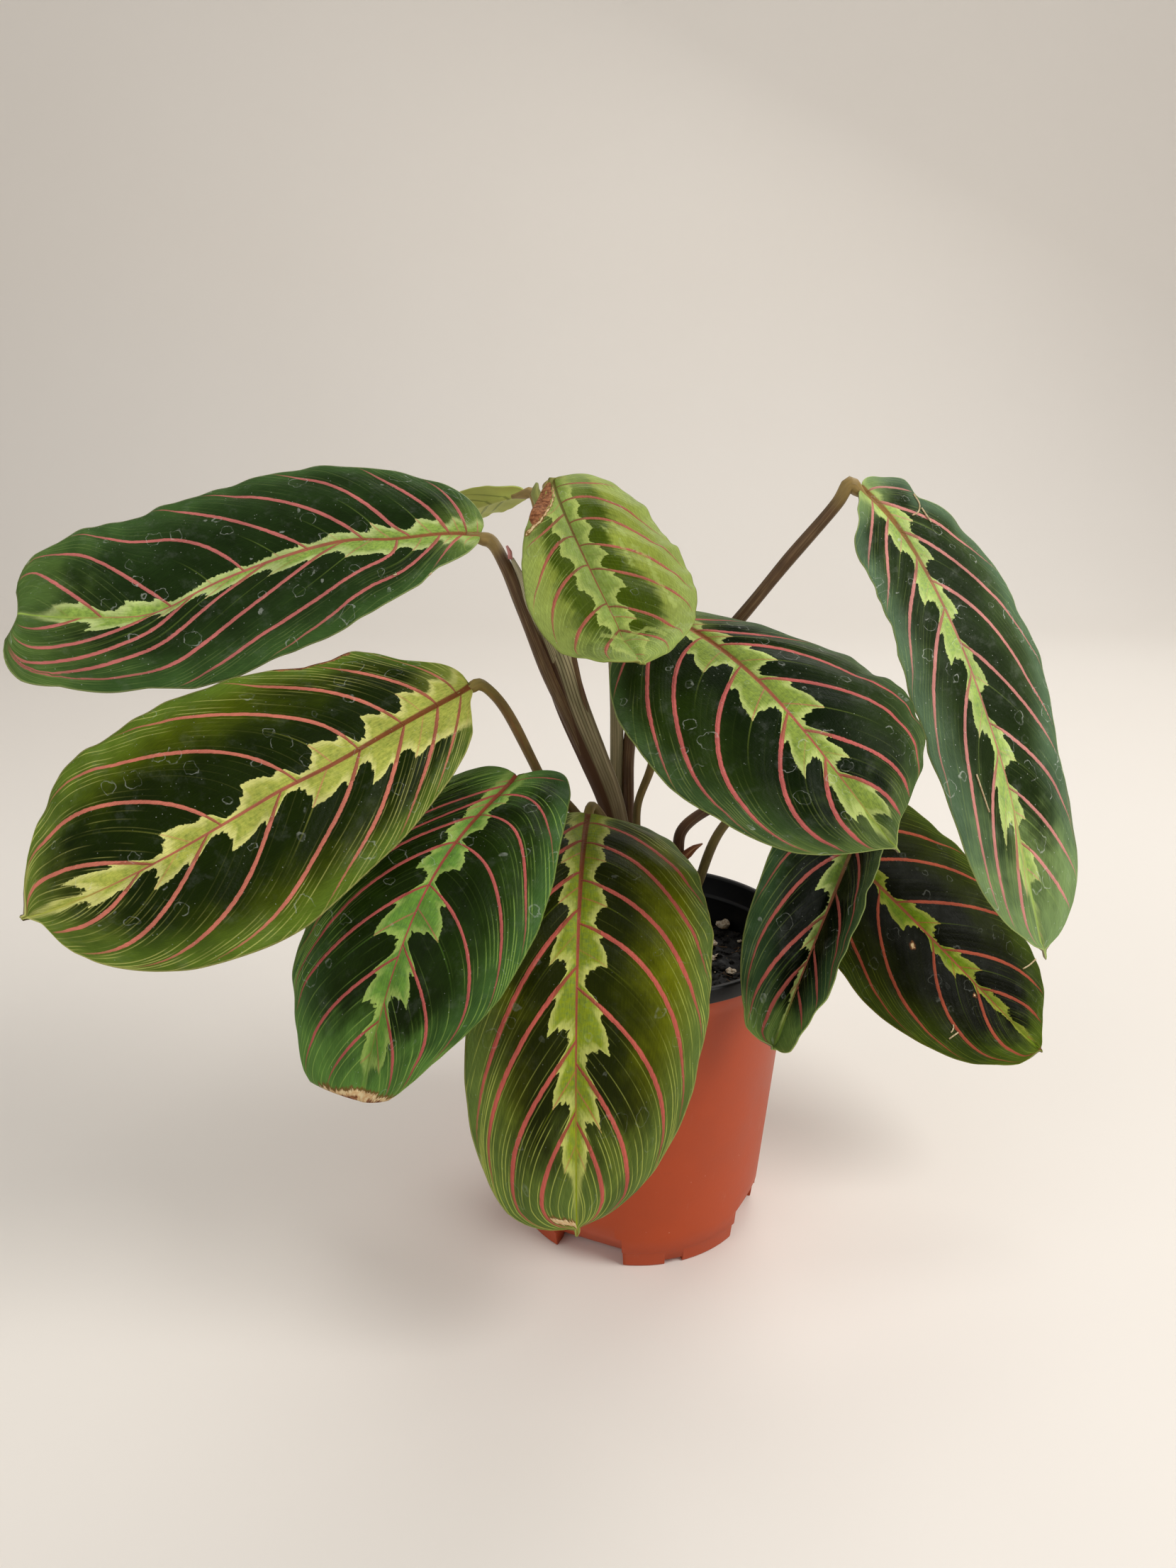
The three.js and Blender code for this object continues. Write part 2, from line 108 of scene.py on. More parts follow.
# The studio floor, and the bend by which it curves up into the backdrop
FLOOR_FRONT = 2500
FLOOR_BACK = 1100
FLOOR_SIDE = 3500
FLOOR_BEND = 500
BACKDROP_HEIGHT = 2600

# Blade formula, the same as the solids have
BLADE_END = 0.985
EDGE_WIDTH = 0.4
TIP_START = 0.9
TIP_RISE = 0.05
TIP_WIDTH = 1.5
WAVE_SHIFT = 1.9
BLADE_ROWS = 132
HALF_COLUMNS = 38
SIDES = ("left", "right")

# How much longer a blade is than the straight line between its ends, and its veins: where
# their middle and far numbers are read and how far out they are followed, as shares of the
# half width, and the least gap between two of them, in the table and at either end of it
ARC_SHARE = 1.06
VEIN_MIDDLE = 0.5
VEIN_FAR = 0.9
VEIN_REACH = 1.15
VEIN_GAP = 0.012
END_GAP = 0.03

# A blade's half thickness at its margin, what the midrib adds and how far that reaches, the
# ridge under the midrib, and the width in all from which a blade has its full relief
EDGE_THICKNESS = 0.16
MIDRIB_THICKNESS = 0.14
THICKNESS_REACH = 8
RIDGE_WIDTH = 1.1
FULL_RELIEF_WIDTH = 40

# Relief of a blade: quilting between its veins, the valley and narrower groove at the
# midrib with their widths, and the ripple of its margins
QUILT = 0.34
VALLEY = 0.55
VALLEY_WIDTH = 2.5
GROOVE = 0.35
GROOVE_WIDTH = 0.9
RIPPLE = 2.2

# Bits of straw that lie on some blades
STRAW_RADIUS = 0.24

# Random turns go up to this angle
FULL_TURN = 6.28


def half(width, widest, full, rise, droop, blunt=(0.5, 0.5), behind=0, beyond=0):
    """One side of a blade: its width, where it is widest, how full and how blunt it is towards
    the base and the tip, how it rises at the midrib and droops, in degrees, and how far its
    margin runs back behind the base and on beyond the tip."""
    return {
        "width": width, "widest": widest, "full": full, "rise": rise, "droop": droop,
        "blunt": blunt, "behind": behind, "beyond": beyond,
    }


# A blade's midrib passes through four points, and facing is the way its face looks at its
# base and its tip. Each vein is (start on the midrib, half way out, near the margin, spike,
# finger): the first three are shares along the blade, and the last two say how far the pale
# band reaches from the midrib after that vein, at the point of its lobe and at the dark
# finger beyond it. Edges and wander are (share along the blade, share of the half width), and
# brown, cream and streak are strokes of such points with a radius in mm. Straws are lines of
# such points. A wave is the height of the margin's waves in mm, how many there are, and where
# they start. Lobe is how far both margins run back behind the base in mm, end is the share
# of the length at which the blade stops, curl is where its tip starts to lift and by how many
# mm, and spike_place is where, from one vein to the next, a lobe of the band is longest.
LEAVES = {
    "upper_left": {
        "midrib": [(-47, -2, 222), (-90, -8, 220), (-129, -20, 206), (-170, -36, 205)],
        "facing": [(0, -0.62, 0.78), (-0.1, -0.8, 0.6)],
        "left": half(32.5, 0.5, (1.6, 2.8), 12, 26, (0.5, 0.33), beyond=3),
        "right": half(36, 0.52, (1.8, 3), 10, 26, (0.5, 0.42), beyond=2),
        "wave": (0.5, 4, 0),
        "lobe": 3,
        "end": 0.983,
        "straws": [[(0.12, -0.93), (0.127, -0.925)], [(0.2, -0.72), (0.207, -0.725)]],
        "wander": [
            (0, -0.02), (0.05, -0.08), (0.1, -0.15), (0.17, -0.18), (0.22, -0.13), (0.25, -0.05),
            (0.3, 0), (0.37, 0.03), (0.45, 0.05), (0.55, 0.06), (0.6, 0.05), (0.65, 0.02),
            (0.7, -0.03), (0.75, -0.05), (0.8, 0), (0.87, 0.03), (1, 0.05),
        ],
        "right_veins": [
            (0.025, 0.053, 0.105, 0.16, 0.1), (0.06, 0.118, 0.215, 0.18, 0.09),
            (0.145, 0.25, 0.38, 0.16, 0.07), (0.25, 0.38, 0.54, 0.08, 0.04),
            (0.375, 0.505, 0.635, 0.05, 0.03), (0.52, 0.625, 0.85, 0.05, 0.03),
            (0.69, 0.80, 0.98, 0.13, 0.05), (0.83, 0.935, 0.98, 0.16, 0.06),
        ],
        "left_veins": [
            (0.03, 0.08, 0.165, 0.16, 0.1), (0.08, 0.158, 0.44, 0.2, 0.14),
            (0.18, 0.285, 0.8, 0.25, 0.14), (0.29, 0.59, 1.1, 0.19, 0.08),
            (0.47, 0.79, 0.945, 0.13, 0.05), (0.64, 0.86, 1.0, 0.1, 0.04),
            (0.72, 0.94, 1.1, 0.17, 0.06), (0.87, 1.05, 1.25, 0.13, 0.06),
        ],
        "right_edge": [(0, 0.85), (0.1, 0.92), (0.24, 0.93), (0.32, 1), (1, 1)],
        "left_edge": [
            (0, 0.7), (0.03, 0.8), (0.1, 0.84), (0.15, 0.97), (0.2, 1), (0.4, 0.97), (0.55, 0.93),
            (0.7, 0.93), (0.77, 0.84), (0.9, 0.84), (0.97, 0.97),
        ],
    },
    "middle_left": {
        "midrib": [(-48, -35, 185), (-84, -60, 170), (-117, -82, 154), (-148, -95, 143)],
        "facing": [(0.1, -0.75, 0.66), (0.1, -0.85, 0.5)],
        "left": half(32.5, 0.53, (1.5, 2), 8, 22, (0.5, 0.85)),
        "right": half(37, 0.52, (1.7, 2.4), 5, 20, (0.5, 0.55)),
        "wave": (1, 4, 0.3),
        "lobe": 2,
        "wander": [(0, -0.05), (0.3, -0.05), (0.42, 0), (1, 0)],
        "right_veins": [
            (0.03, 0.05, 0.11, 0.2, 0.12), (0.075, 0.122, 0.235, 0.22, 0.09),
            (0.155, 0.218, 0.35, 0.2, 0.05), (0.255, 0.33, 0.575, 0.2, 0.04),
            (0.385, 0.50, 0.81, 0.17, 0.03), (0.55, 0.71, 1.15, 0.15, 0.03),
            (0.70, 1.05, 1.7, 0.15, 0.03),
        ],
        "left_veins": [
            (0.02, 0.068, 0.185, 0.3, 0.3), (0.075, 0.14, 0.28, 0.33, 0.22),
            (0.15, 0.25, 0.42, 0.33, 0.13), (0.25, 0.38, 0.62, 0.27, 0.06),
            (0.42, 0.57, 0.77, 0.24, 0.05), (0.58, 0.745, 0.885, 0.2, 0.03),
            (0.73, 0.905, 1.1, 0.1, 0.03),
        ],
        "right_edge": [
            (0, 0.85), (0.05, 0.8), (0.09, 0.86), (0.12, 0.98), (0.155, 1), (0.2, 0.91),
            (0.25, 0.88), (0.29, 0.96), (0.33, 1), (0.9, 1), (0.96, 0.85), (1, 1),
        ],
        "left_edge": [
            (0.02, 0.5), (0.04, 0.75), (0.06, 0.9), (0.1, 0.97), (0.15, 1), (0.88, 1),
            (0.91, 0.95), (0.93, 0.8), (0.945, 0.55), (0.955, 0.35), (1, 0.2),
        ],
        "brown": [([(0.17, 0.96), (0.2, 0.91), (0.25, 0.88), (0.29, 0.96)], 0.9)],
    },
    "lower_left": {
        "midrib": [(-35.7, -36, 160), (-50.8, -61, 149), (-62.8, -78, 128), (-76, -86, 81)],
        "facing": [(-0.1, -0.6, 0.8), (-0.2, -0.9, 0.3)],
        "left": half(30.6, 0.5, (1.5, 2.4), 8, 25, (0.5, 0.62), behind=12, beyond=-6),
        "right": half(27.8, 0.65, (2.2, 3.5), 8, 30, beyond=1),
        "wave": (0.8, 3, 0.1),
        "lobe": 3,
        "end": 0.96,
        "right_veins": [
            (0.03, 0.25, 0.6, 0.1, 0.1), (0.075, 0.36, 0.65, 0.12, 0.1),
            (0.19, 0.43, 0.7, 0.14, 0.08), (0.315, 0.54, 0.79, 0.18, 0.05),
            (0.485, 0.675, 0.84, 0.28, 0.05), (0.69, 0.835, 0.94, 0.19, 0.05),
            (0.825, 0.945, 1.02, 0.1, 0.03),
        ],
        "left_veins": [
            (0.03, 0.025, 0.06, 0.13, 0.1), (0.095, 0.115, 0.28, 0.15, 0.07),
            (0.19, 0.24, 0.5, 0.15, 0.05), (0.32, 0.405, 0.68, 0.2, 0.04),
            (0.485, 0.60, 0.86, 0.3, 0.04), (0.66, 0.805, 1.0, 0.22, 0.05),
            (0.79, 0.93, 1.05, 0.2, 0.05),
        ],
        "left_edge": [
            (0, 1), (0.06, 0.95), (0.14, 0.92), (0.25, 0.95), (0.35, 1), (0.89, 1), (0.93, 0.92),
            (0.96, 0.78),
        ],
        "cream": [
            ([(0.966, -0.9), (0.96, -0.4), (0.96, 0.2), (0.967, 0.7)], 1.0),
            ([(0.956, -0.35), (0.956, 0.15)], 1.2),
        ],
        "brown": [([(0.962, -0.6), (0.956, -0.2)], 0.4), ([(0.957, 0.05), (0.962, 0.3)], 0.4)],
    },
    "front": {
        "midrib": [(-16, -22, 144), (-18, -55, 135), (-19, -75, 104), (-19, -80, 43)],
        "facing": [(0.05, -0.5, 0.86), (0.1, -1, 0.1)],
        "left": half(36, 0.5, (2.4, 2.7), 8, 25),
        "right": half(28.7, 0.7, (2, 3.7), 8, 25, (0.5, 0.57), beyond=2.5),
        "wave": (0.8, 3, 0.5),
        "lobe": 3,
        "right_veins": [
            (0.04, 0.2, 0.4, 0.2, 0.15), (0.145, 0.3, 0.5, 0.2, 0.12), (0.28, 0.43, 0.62, 0.2, 0.1),
            (0.40, 0.585, 0.815, 0.26, 0.1), (0.545, 0.70, 0.885, 0.27, 0.07),
            (0.695, 0.835, 0.98, 0.22, 0.06), (0.815, 0.95, 1.05, 0.17, 0.08),
        ],
        "left_veins": [
            (0.055, 0.12, 0.3, 0.2, 0.15), (0.16, 0.255, 0.5, 0.18, 0.1),
            (0.31, 0.415, 0.635, 0.2, 0.12), (0.44, 0.55, 0.785, 0.22, 0.06),
            (0.59, 0.72, 0.88, 0.24, 0.07), (0.735, 0.88, 0.99, 0.18, 0.07),
            (0.83, 0.98, 1.1, 0.1, 0.08),
        ],
        "brown": [([(0.995, -0.3), (0.995, 0.3)], 0.4)],
        "cream": [([(0.985, 0.1), (0.97, 0.5)], 0.7)],
    },
    "young": {
        "midrib": [(-26, -5, 238), (-19, -25, 223), (-10, -45, 207), (-3, -60, 194)],
        "facing": [(0.1, -0.5, 0.86), (0.1, -0.7, 0.7)],
        "left": half(26.5, 0.5, (2.6, 2.2), 8, 25, (0.5, 0.8), behind=3),
        "right": half(20, 0.58, (1.4, 2), 8, 25, (0.9, 0.8)),
        "wave": (0.6, 3, 0.5),
        "lobe": 2,
        "right_veins": [
            (0.195, 0.275, 0.34, 0.3, 0.22), (0.31, 0.375, 0.56, 0.32, 0.2),
            (0.445, 0.53, 0.72, 0.3, 0.17), (0.625, 0.71, 0.82, 0.26, 0.13),
            (0.75, 0.85, 0.94, 0.25, 0.2),
        ],
        "left_veins": [
            (0.05, 0.065, 0.11, 0.17, 0.14), (0.14, 0.155, 0.33, 0.18, 0.12),
            (0.245, 0.28, 0.48, 0.2, 0.12), (0.355, 0.43, 0.6, 0.23, 0.12),
            (0.465, 0.565, 0.7, 0.25, 0.1), (0.64, 0.745, 0.845, 0.2, 0.1),
            (0.75, 0.85, 0.93, 0.2, 0.15),
        ],
        "right_edge": [(0, 1), (0.05, 0.9), (0.12, 0.87), (0.2, 0.92), (0.27, 1)],
        "brown": [
            ([(0.03, 0.45), (0.1, 0.42), (0.17, 0.62), (0.22, 0.8)], 2.7),
            ([(0.06, 0.7), (0.2, 0.86)], 2.6),
        ],
        "cream": [([(0.03, 0.26), (0.1, 0.2), (0.17, 0.4), (0.24, 0.66), (0.29, 0.95)], 0.35)],
        "streak": [
            ([(0.28, -0.46), (0.36, -0.5)], 0.4),
            ([(0.4, -0.52), (0.47, -0.6), (0.56, -0.58), (0.64, -0.66)], 0.4),
            ([(0.37, -0.42), (0.5, -0.4)], 0.3),
            ([(0.3, -0.3), (0.34, -0.36)], 0.3),
            ([(0.66, -0.66), (0.7, -0.7)], 0.7),
            ([(0.76, 0.3), (0.79, 0), (0.78, -0.35), (0.84, -0.6)], 0.5),
        ],
        "curl": (0.78, 4),
    },
    "centre_right": {
        "midrib": [(6, -12, 201), (27, -40, 190), (43, -60, 174), (61, -75, 152)],
        "facing": [(-0.1, -0.5, 0.86), (-0.1, -0.7, 0.7)],
        "left": half(37.5, 0.6, (1.5, 2.2), 3, 45, (0.5, 0.85)),
        "right": half(38, 0.42, (2.8, 2), 5, 15, (0.5, 0.65)),
        "wave": (0.8, 3, 0.2),
        "lobe": 3,
        "spike_place": 0.5,
        "right_veins": [
            (-0.05, 0, 0.12, 0.1, 0.1), (0.03, 0.09, 0.42, 0.1, 0.1), (0.14, 0.24, 0.645, 0.27, 0.07),
            (0.295, 0.46, 0.83, 0.26, 0.05), (0.51, 0.735, 1.05, 0.22, 0.05), (0.69, 0.96, 1.4, 0.13, 0.05),
        ],
        "left_veins": [
            (0.03, 0.14, 0.26, 0.1, 0.05), (0.1, 0.25, 0.36, 0.14, 0.05), (0.19, 0.35, 0.66, 0.22, 0.05),
            (0.365, 0.55, 0.87, 0.22, 0.04), (0.585, 0.82, 0.97, 0.13, 0.02), (0.75, 0.95, 1.1, 0.2, 0.02),
        ],
        "left_edge": [
            (0, 0.6), (0.1, 0.6), (0.16, 0.62), (0.2, 0.67), (0.27, 0.71), (0.32, 0.78), (0.36, 0.9),
            (0.39, 1), (0.86, 1), (0.9, 0.82), (0.92, 0.68), (0.94, 0.42), (0.965, 0.32), (1, 0.3),
        ],
        "right_edge": [(0, 1), (0.86, 1), (0.9, 0.95), (0.93, 0.8), (0.955, 0.6), (0.975, 0.4), (1, 0.3)],
    },
    "far_right": {
        "midrib": [(62, 0, 235), (85, -4, 209), (100, -20, 170), (117, -36, 104)],
        "facing": [(0.52, -0.75, 0.5), (0.52, -0.8, 0.3)],
        "left": half(29.5, 0.58, (1.5, 3), 12, 22),
        "right": half(25, 0.5, (1.7, 3), 4, 25),
        "wave": (0.9, 4, 0.2),
        "lobe": 3,
        "wander": [
            (0, -0.13), (0.03, -0.08), (0.08, -0.05), (0.15, -0.01), (0.2, 0.02), (0.3, 0.06), (0.4, 0.07),
            (0.5, 0.05), (0.6, 0.03), (0.7, 0), (0.75, -0.02), (1, 0),
        ],
        "straws": [
            [(0.16, -0.35), (0.165, -0.48), (0.158, -0.6), (0.135, -0.73)], [(0.167, -0.58), (0.21, -0.53)],
            [(0.735, 0.49), (0.765, 0.49), (0.79, 0.46)],
        ],
        "right_veins": [
            (0.04, 0.083, 0.19, 0.16, 0.12), (0.105, 0.18, 0.43, 0.25, 0.13),
            (0.24, 0.37, 0.555, 0.32, 0.13), (0.4, 0.515, 0.71, 0.34, 0.1),
            (0.555, 0.69, 0.98, 0.28, 0.1), (0.71, 0.83, 1.1, 0.3, 0.1), (0.81, 1.0, 1.3, 0.2, 0.1),
        ],
        "left_veins": [
            (0.02, 0.065, 0.2, 0.1, 0.06), (0.05, 0.18, 0.315, 0.18, 0.1), (0.16, 0.32, 0.52, 0.15, 0.02),
            (0.32, 0.49, 0.8, 0.12, 0), (0.49, 0.645, 0.81, 0.12, 0), (0.66, 0.755, 0.845, 0.15, 0),
            (0.77, 0.85, 0.915, 0.1, 0), (0.85, 0.92, 0.96, 0.17, 0),
        ],
        "right_edge": [
            (0.02, 0.6), (0.03, 0.8), (0.055, 0.8), (0.09, 0.98), (0.13, 1), (0.25, 1), (0.3, 0.98),
            (0.33, 0.93), (0.4, 0.9), (0.45, 0.94), (0.48, 1), (0.6, 1), (0.62, 0.97), (0.66, 0.96),
            (0.68, 1), (0.85, 1), (0.9, 0.97), (0.94, 0.85), (0.97, 0.65), (1, 0.6),
        ],
        "left_edge": [
            (0, 0.8), (0.05, 0.85), (0.08, 0.95), (0.11, 0.98), (0.125, 0.9), (0.135, 0.8), (0.15, 0.74),
            (0.17, 0.8), (0.2, 0.9), (0.25, 1), (0.4, 1), (0.42, 0.95), (0.46, 0.92), (0.5, 0.97),
            (0.55, 1), (0.6, 1), (0.63, 0.93), (0.68, 0.84), (0.74, 0.8), (0.77, 0.83), (0.79, 0.9),
            (0.82, 1), (0.93, 1), (0.96, 0.9),
        ],
    },
    "low_right": {
        "midrib": [(54, 15, 130), (84, 15, 103), (112, 5, 76), (133, -5, 56)],
        "facing": [(-0.1, -0.6, 0.86), (0.1, -0.7, 0.7)],
        "left": half(35, 0.42, (2.6, 1.9), 8, 25, (0.5, 0.7)),
        "right": half(33, 0.45, (2, 2), 8, 25, (0.5, 0.7)),
        "wave": (0.8, 3, 0.2),
        "lobe": 3,
        "right_veins": [
            (0.15, 0.21, 0.53, 0.1, 0.02), (0.3, 0.41, 0.72, 0.2, 0.02), (0.5, 0.65, 0.95, 0.14, 0.02),
            (0.67, 0.87, 1.2, 0.06, 0.02),
        ],
        "left_veins": [
            (0.1, 0.22, 0.39, 0.1, 0.03), (0.2, 0.345, 0.52, 0.12, 0.02), (0.36, 0.505, 0.64, 0.16, 0.02),
            (0.54, 0.71, 0.88, 0.13, 0.02), (0.69, 0.89, 1.1, 0.07, 0.02),
        ],
        "left_edge": [(0, 1), (0.8, 1), (0.85, 0.93), (0.88, 0.85), (0.92, 0.65), (0.95, 0.45)],
        "brown": [([(0.99, -0.4), (0.99, 0.4)], 1.0)],
        "cream": [([(0.465, 0.235), (0.467, 0.245)], 0.75), ([(0.69, 0.13), (0.692, 0.135)], 0.4)],
        "straws": [
            [(0.7, 0.61), (0.707, 0.67), (0.705, 0.72)], [(0.715, 0.78), (0.73, 0.65)],
            [(0.75, -0.65), (0.76, -0.8), (0.77, -1)],
        ],
    },
    "folded": {
        "midrib": [(67, -8, 135), (58, -26, 126), (46, -45, 109), (36, -54, 85)],
        "facing": [(-0.5, -0.8, 0.3), (-0.5, -0.8, 0.1)],
        "left": half(20, 0.45, (2.2, 2), 44, 0),
        "right": half(21, 0.4, (2.6, 2.2), 35, 15),
        "wave": (0.6, 3, 0.2),
        "lobe": 1,
        "right_veins": [
            (0, 0.15, 0.5, 0.1, 0.02), (0.18, 0.45, 0.88, 0.26, 0.02), (0.5, 0.75, 0.93, 0.14, 0.01),
            (0.68, 0.95, 1.2, 0.06, 0.02),
        ],
        "left_veins": [
            (0.15, 0.36, 0.66, 0, 0), (0.4, 0.56, 0.74, 0, 0), (0.62, 0.74, 0.81, 0, 0),
            (0.77, 0.84, 0.88, 0, 0),
        ],
    },
    "rolled": {
        "midrib": [(-35, 16, 233), (-54, 28, 227), (-70, 42, 219), (-84, 56, 209)],
        "facing": [(-0.2, 0.9, 0.35), (-0.2, 0.9, 0.35)],
        "left": half(6.5, 0.5, (1.8, 2), 10, 10),
        "right": half(12, 0.5, (1.8, 2), 40, 10),
        "wave": (0.5, 3, 0.2),
        "lobe": 0.5,
        "right_veins": [(0.08 + 0.1 * k, 0.2 + 0.1 * k, 0.34 + 0.1 * k, 0.1, 0.08) for k in range(8)],
        "left_veins": [(0.08 + 0.1 * k, 0.2 + 0.1 * k, 0.34 + 0.1 * k, 0.1, 0.08) for k in range(8)],
    },
}


def colour(red, green, blue):
    """A colour measured in the photograph, 0 to 255, as the shader's linear values."""
    linear = [
        part / 12.92 if part <= 0.04045 else ((part + 0.055) / 1.055) ** 2.4
        for part in (red / 255, green / 255, blue / 255)
    ]
    return (*linear, 1.0)


# Node helpers
class Tree:
    """Adds nodes to one node tree and links them. A value is a number, a colour or a socket."""

    def __init__(self, tree):
        self.tree = tree

    def node(self, kind, **settings):
        made = self.tree.nodes.new(kind)
        for name, value in settings.items():
            setattr(made, name, value)
        return made

    def feed(self, socket, value):
        if isinstance(value, bpy.types.NodeSocket):
            self.tree.links.new(value, socket)
        else:
            socket.default_value = value

    def math(self, operation, *values, clamp=False):
        made = self.node("ShaderNodeMath", operation=operation, use_clamp=clamp)
        for socket, value in zip(made.inputs, values):
            self.feed(socket, value)
        return made.outputs[0]

    def times(self, first, *others):
        """The numbers multiplied together."""
        for other in others:
            first = self.math("MULTIPLY", first, other)
        return first

    def plus(self, first, *others):
        """The numbers added up."""
        for other in others:
            first = self.math("ADD", first, other)
        return first

    def minus(self, first, second):
        return self.math("SUBTRACT", first, second)

    def gap(self, first, second):
        """How far two numbers are apart."""
        return self.math("ABSOLUTE", self.minus(first, second))

    def larger(self, first, second):
        return self.math("MAXIMUM", first, second)

    def around(self, noise, size):
        """A noise of 0 to 1 as a number of the given size around 0."""
        return self.times(self.minus(noise, 0.5), size)

    def mix(self, factor, first, second, blend="MIX"):
        made = self.node("ShaderNodeMix", data_type="RGBA", blend_type=blend)
        for place, value in ((0, factor), (6, first), (7, second)):
            self.feed(made.inputs[place], value)
        return made.outputs[2]

    def shaded(self, skin, shade):
        """A colour made darker or lighter by a number around 1."""
        return self.mix(1.0, skin, self.vector(shade, shade, shade), "MULTIPLY")

    def blend(self, factor, first, second):
        """A number that goes from first to second as the factor goes from 0 to 1."""
        made = self.node("ShaderNodeMix", data_type="FLOAT")
        for place, value in ((0, factor), (2, first), (3, second)):
            self.feed(made.inputs[place], value)
        return made.outputs[0]

    def smooth(self, value, low, high, first=0.0, last=1.0):
        """First up to low, last beyond high, and a soft step between them."""
        made = self.node("ShaderNodeMapRange", interpolation_type="SMOOTHSTEP")
        for place, part in enumerate((value, low, high, first, last)):
            self.feed(made.inputs[place], part)
        return made.outputs[0]

    def noise(self, vector, scale, detail=2.0, roughness=0.5):
        made = self.node("ShaderNodeTexNoise")
        self.feed(made.inputs["Vector"], vector)
        made.inputs["Scale"].default_value = scale
        made.inputs["Detail"].default_value = detail
        made.inputs["Roughness"].default_value = roughness
        return made.outputs["Fac"]

    def cells(self, vector, scale):
        """The distance and random colour of cells with their middles strewn about."""
        made = self.node("ShaderNodeTexVoronoi")
        self.feed(made.inputs["Vector"], vector)
        made.inputs["Scale"].default_value = scale
        return made.outputs

    def split_colour(self, value):
        made = self.node("ShaderNodeSeparateColor")
        self.feed(made.inputs[0], value)
        return made.outputs

    def object_place(self):
        return self.node("ShaderNodeTexCoord").outputs["Object"]

    def vector(self, *parts):
        made = self.node("ShaderNodeCombineXYZ")
        for socket, part in zip(made.inputs, parts):
            self.feed(socket, part)
        return made.outputs[0]

    def parts(self, name):
        """The three numbers of a named attribute."""
        stored = self.node("ShaderNodeAttribute", attribute_name=name)
        split = self.node("ShaderNodeSeparateXYZ")
        self.feed(split.inputs[0], stored.outputs["Vector"])
        return split.outputs

    def curve(self, value, points):
        """A number read from a curve through the points."""
        made = self.node("ShaderNodeFloatCurve")
        line = made.mapping.curves[0]
        line.points[0].location = points[0]
        line.points[1].location = points[-1]
        for x, y in points[1:-1]:
            line.points.new(x, y)
        for point in line.points:
            point.handle_type = "AUTO_CLAMPED"
        made.mapping.update()
        self.feed(made.inputs["Value"], value)
        return made.outputs[0]

    def place(self, group, **values):
        """Put a node group here and feed its named inputs, with colours as measured."""
        made = self.node("ShaderNodeGroup", node_tree=group)
        for name, value in values.items():
            if isinstance(value, tuple):
                value = colour(*value)
            self.feed(made.inputs[name.replace("_", " ")], value)
        return made.outputs


def new_group(name, inputs, outputs):
    """A node group whose inputs and outputs are given as name: kind."""
    group = bpy.data.node_groups.new(name, "ShaderNodeTree")
    for direction, sockets in (("INPUT", inputs), ("OUTPUT", outputs)):
        for label, kind in sockets.items():
            group.interface.new_socket(label, in_out=direction, socket_type=kind)
    tree = Tree(group)
    given = tree.node("NodeGroupInput").outputs
    result = tree.node("NodeGroupOutput").inputs
    return tree, given, result


def new_material(name):
    """An empty material with a Principled shader, and the tree to build it in."""
    material = bpy.data.materials.new(name)
    material.use_nodes = True
    tree = Tree(material.node_tree)
    shader = material.node_tree.nodes["Principled BSDF"]
    return material, tree, shader


def bump(tree, shader, height, distance, strength=1.0):
    made = tree.node("ShaderNodeBump")
    made.inputs["Strength"].default_value = strength
    made.inputs["Distance"].default_value = distance
    tree.feed(made.inputs["Height"], height)
    tree.feed(shader.inputs["Normal"], made.outputs[0])


FLOAT = "NodeSocketFloat"
COLOUR = "NodeSocketColor"
VECTOR = "NodeSocketVector"


# Vein lines: red lines where the phase is a whole number, thinner towards the margin
def vein_lines_group():
    tree, given, result = new_group(
        "vein_lines", {"Width": FLOAT}, {"Mask": FLOAT, "Core": FLOAT, "End": FLOAT}
    )
    phase, spacing, strength = tree.parts("vein")
    length, margin, _ = tree.parts("reach")
    nearest = tree.math("ROUND", phase)
    distance = tree.times(tree.gap(phase, nearest), spacing)
    start = tree.smooth(length, 0, 9, 0.55, 1)
    finish = tree.smooth(margin, 0.8, 9, 0.3, 1)
    wobble = tree.noise(tree.vector(length, nearest, 0), 0.6, 2)
    width = tree.times(given["Width"], start, finish, tree.smooth(wobble, 0.2, 0.8, 0.42, 0.58))
    share = tree.math("DIVIDE", distance, width)
    line = tree.smooth(share, 0.75, 1.15, 1, 0)
    reach = tree.smooth(margin, 0.4, 3.0)
    tree.feed(result["Mask"], tree.times(line, strength, reach))
    tree.feed(result["Core"], tree.smooth(share, 0.1, 0.8, 1, 0))
    tree.feed(result["End"], tree.smooth(margin, 2, 7, 1, 0))
    return tree.tree


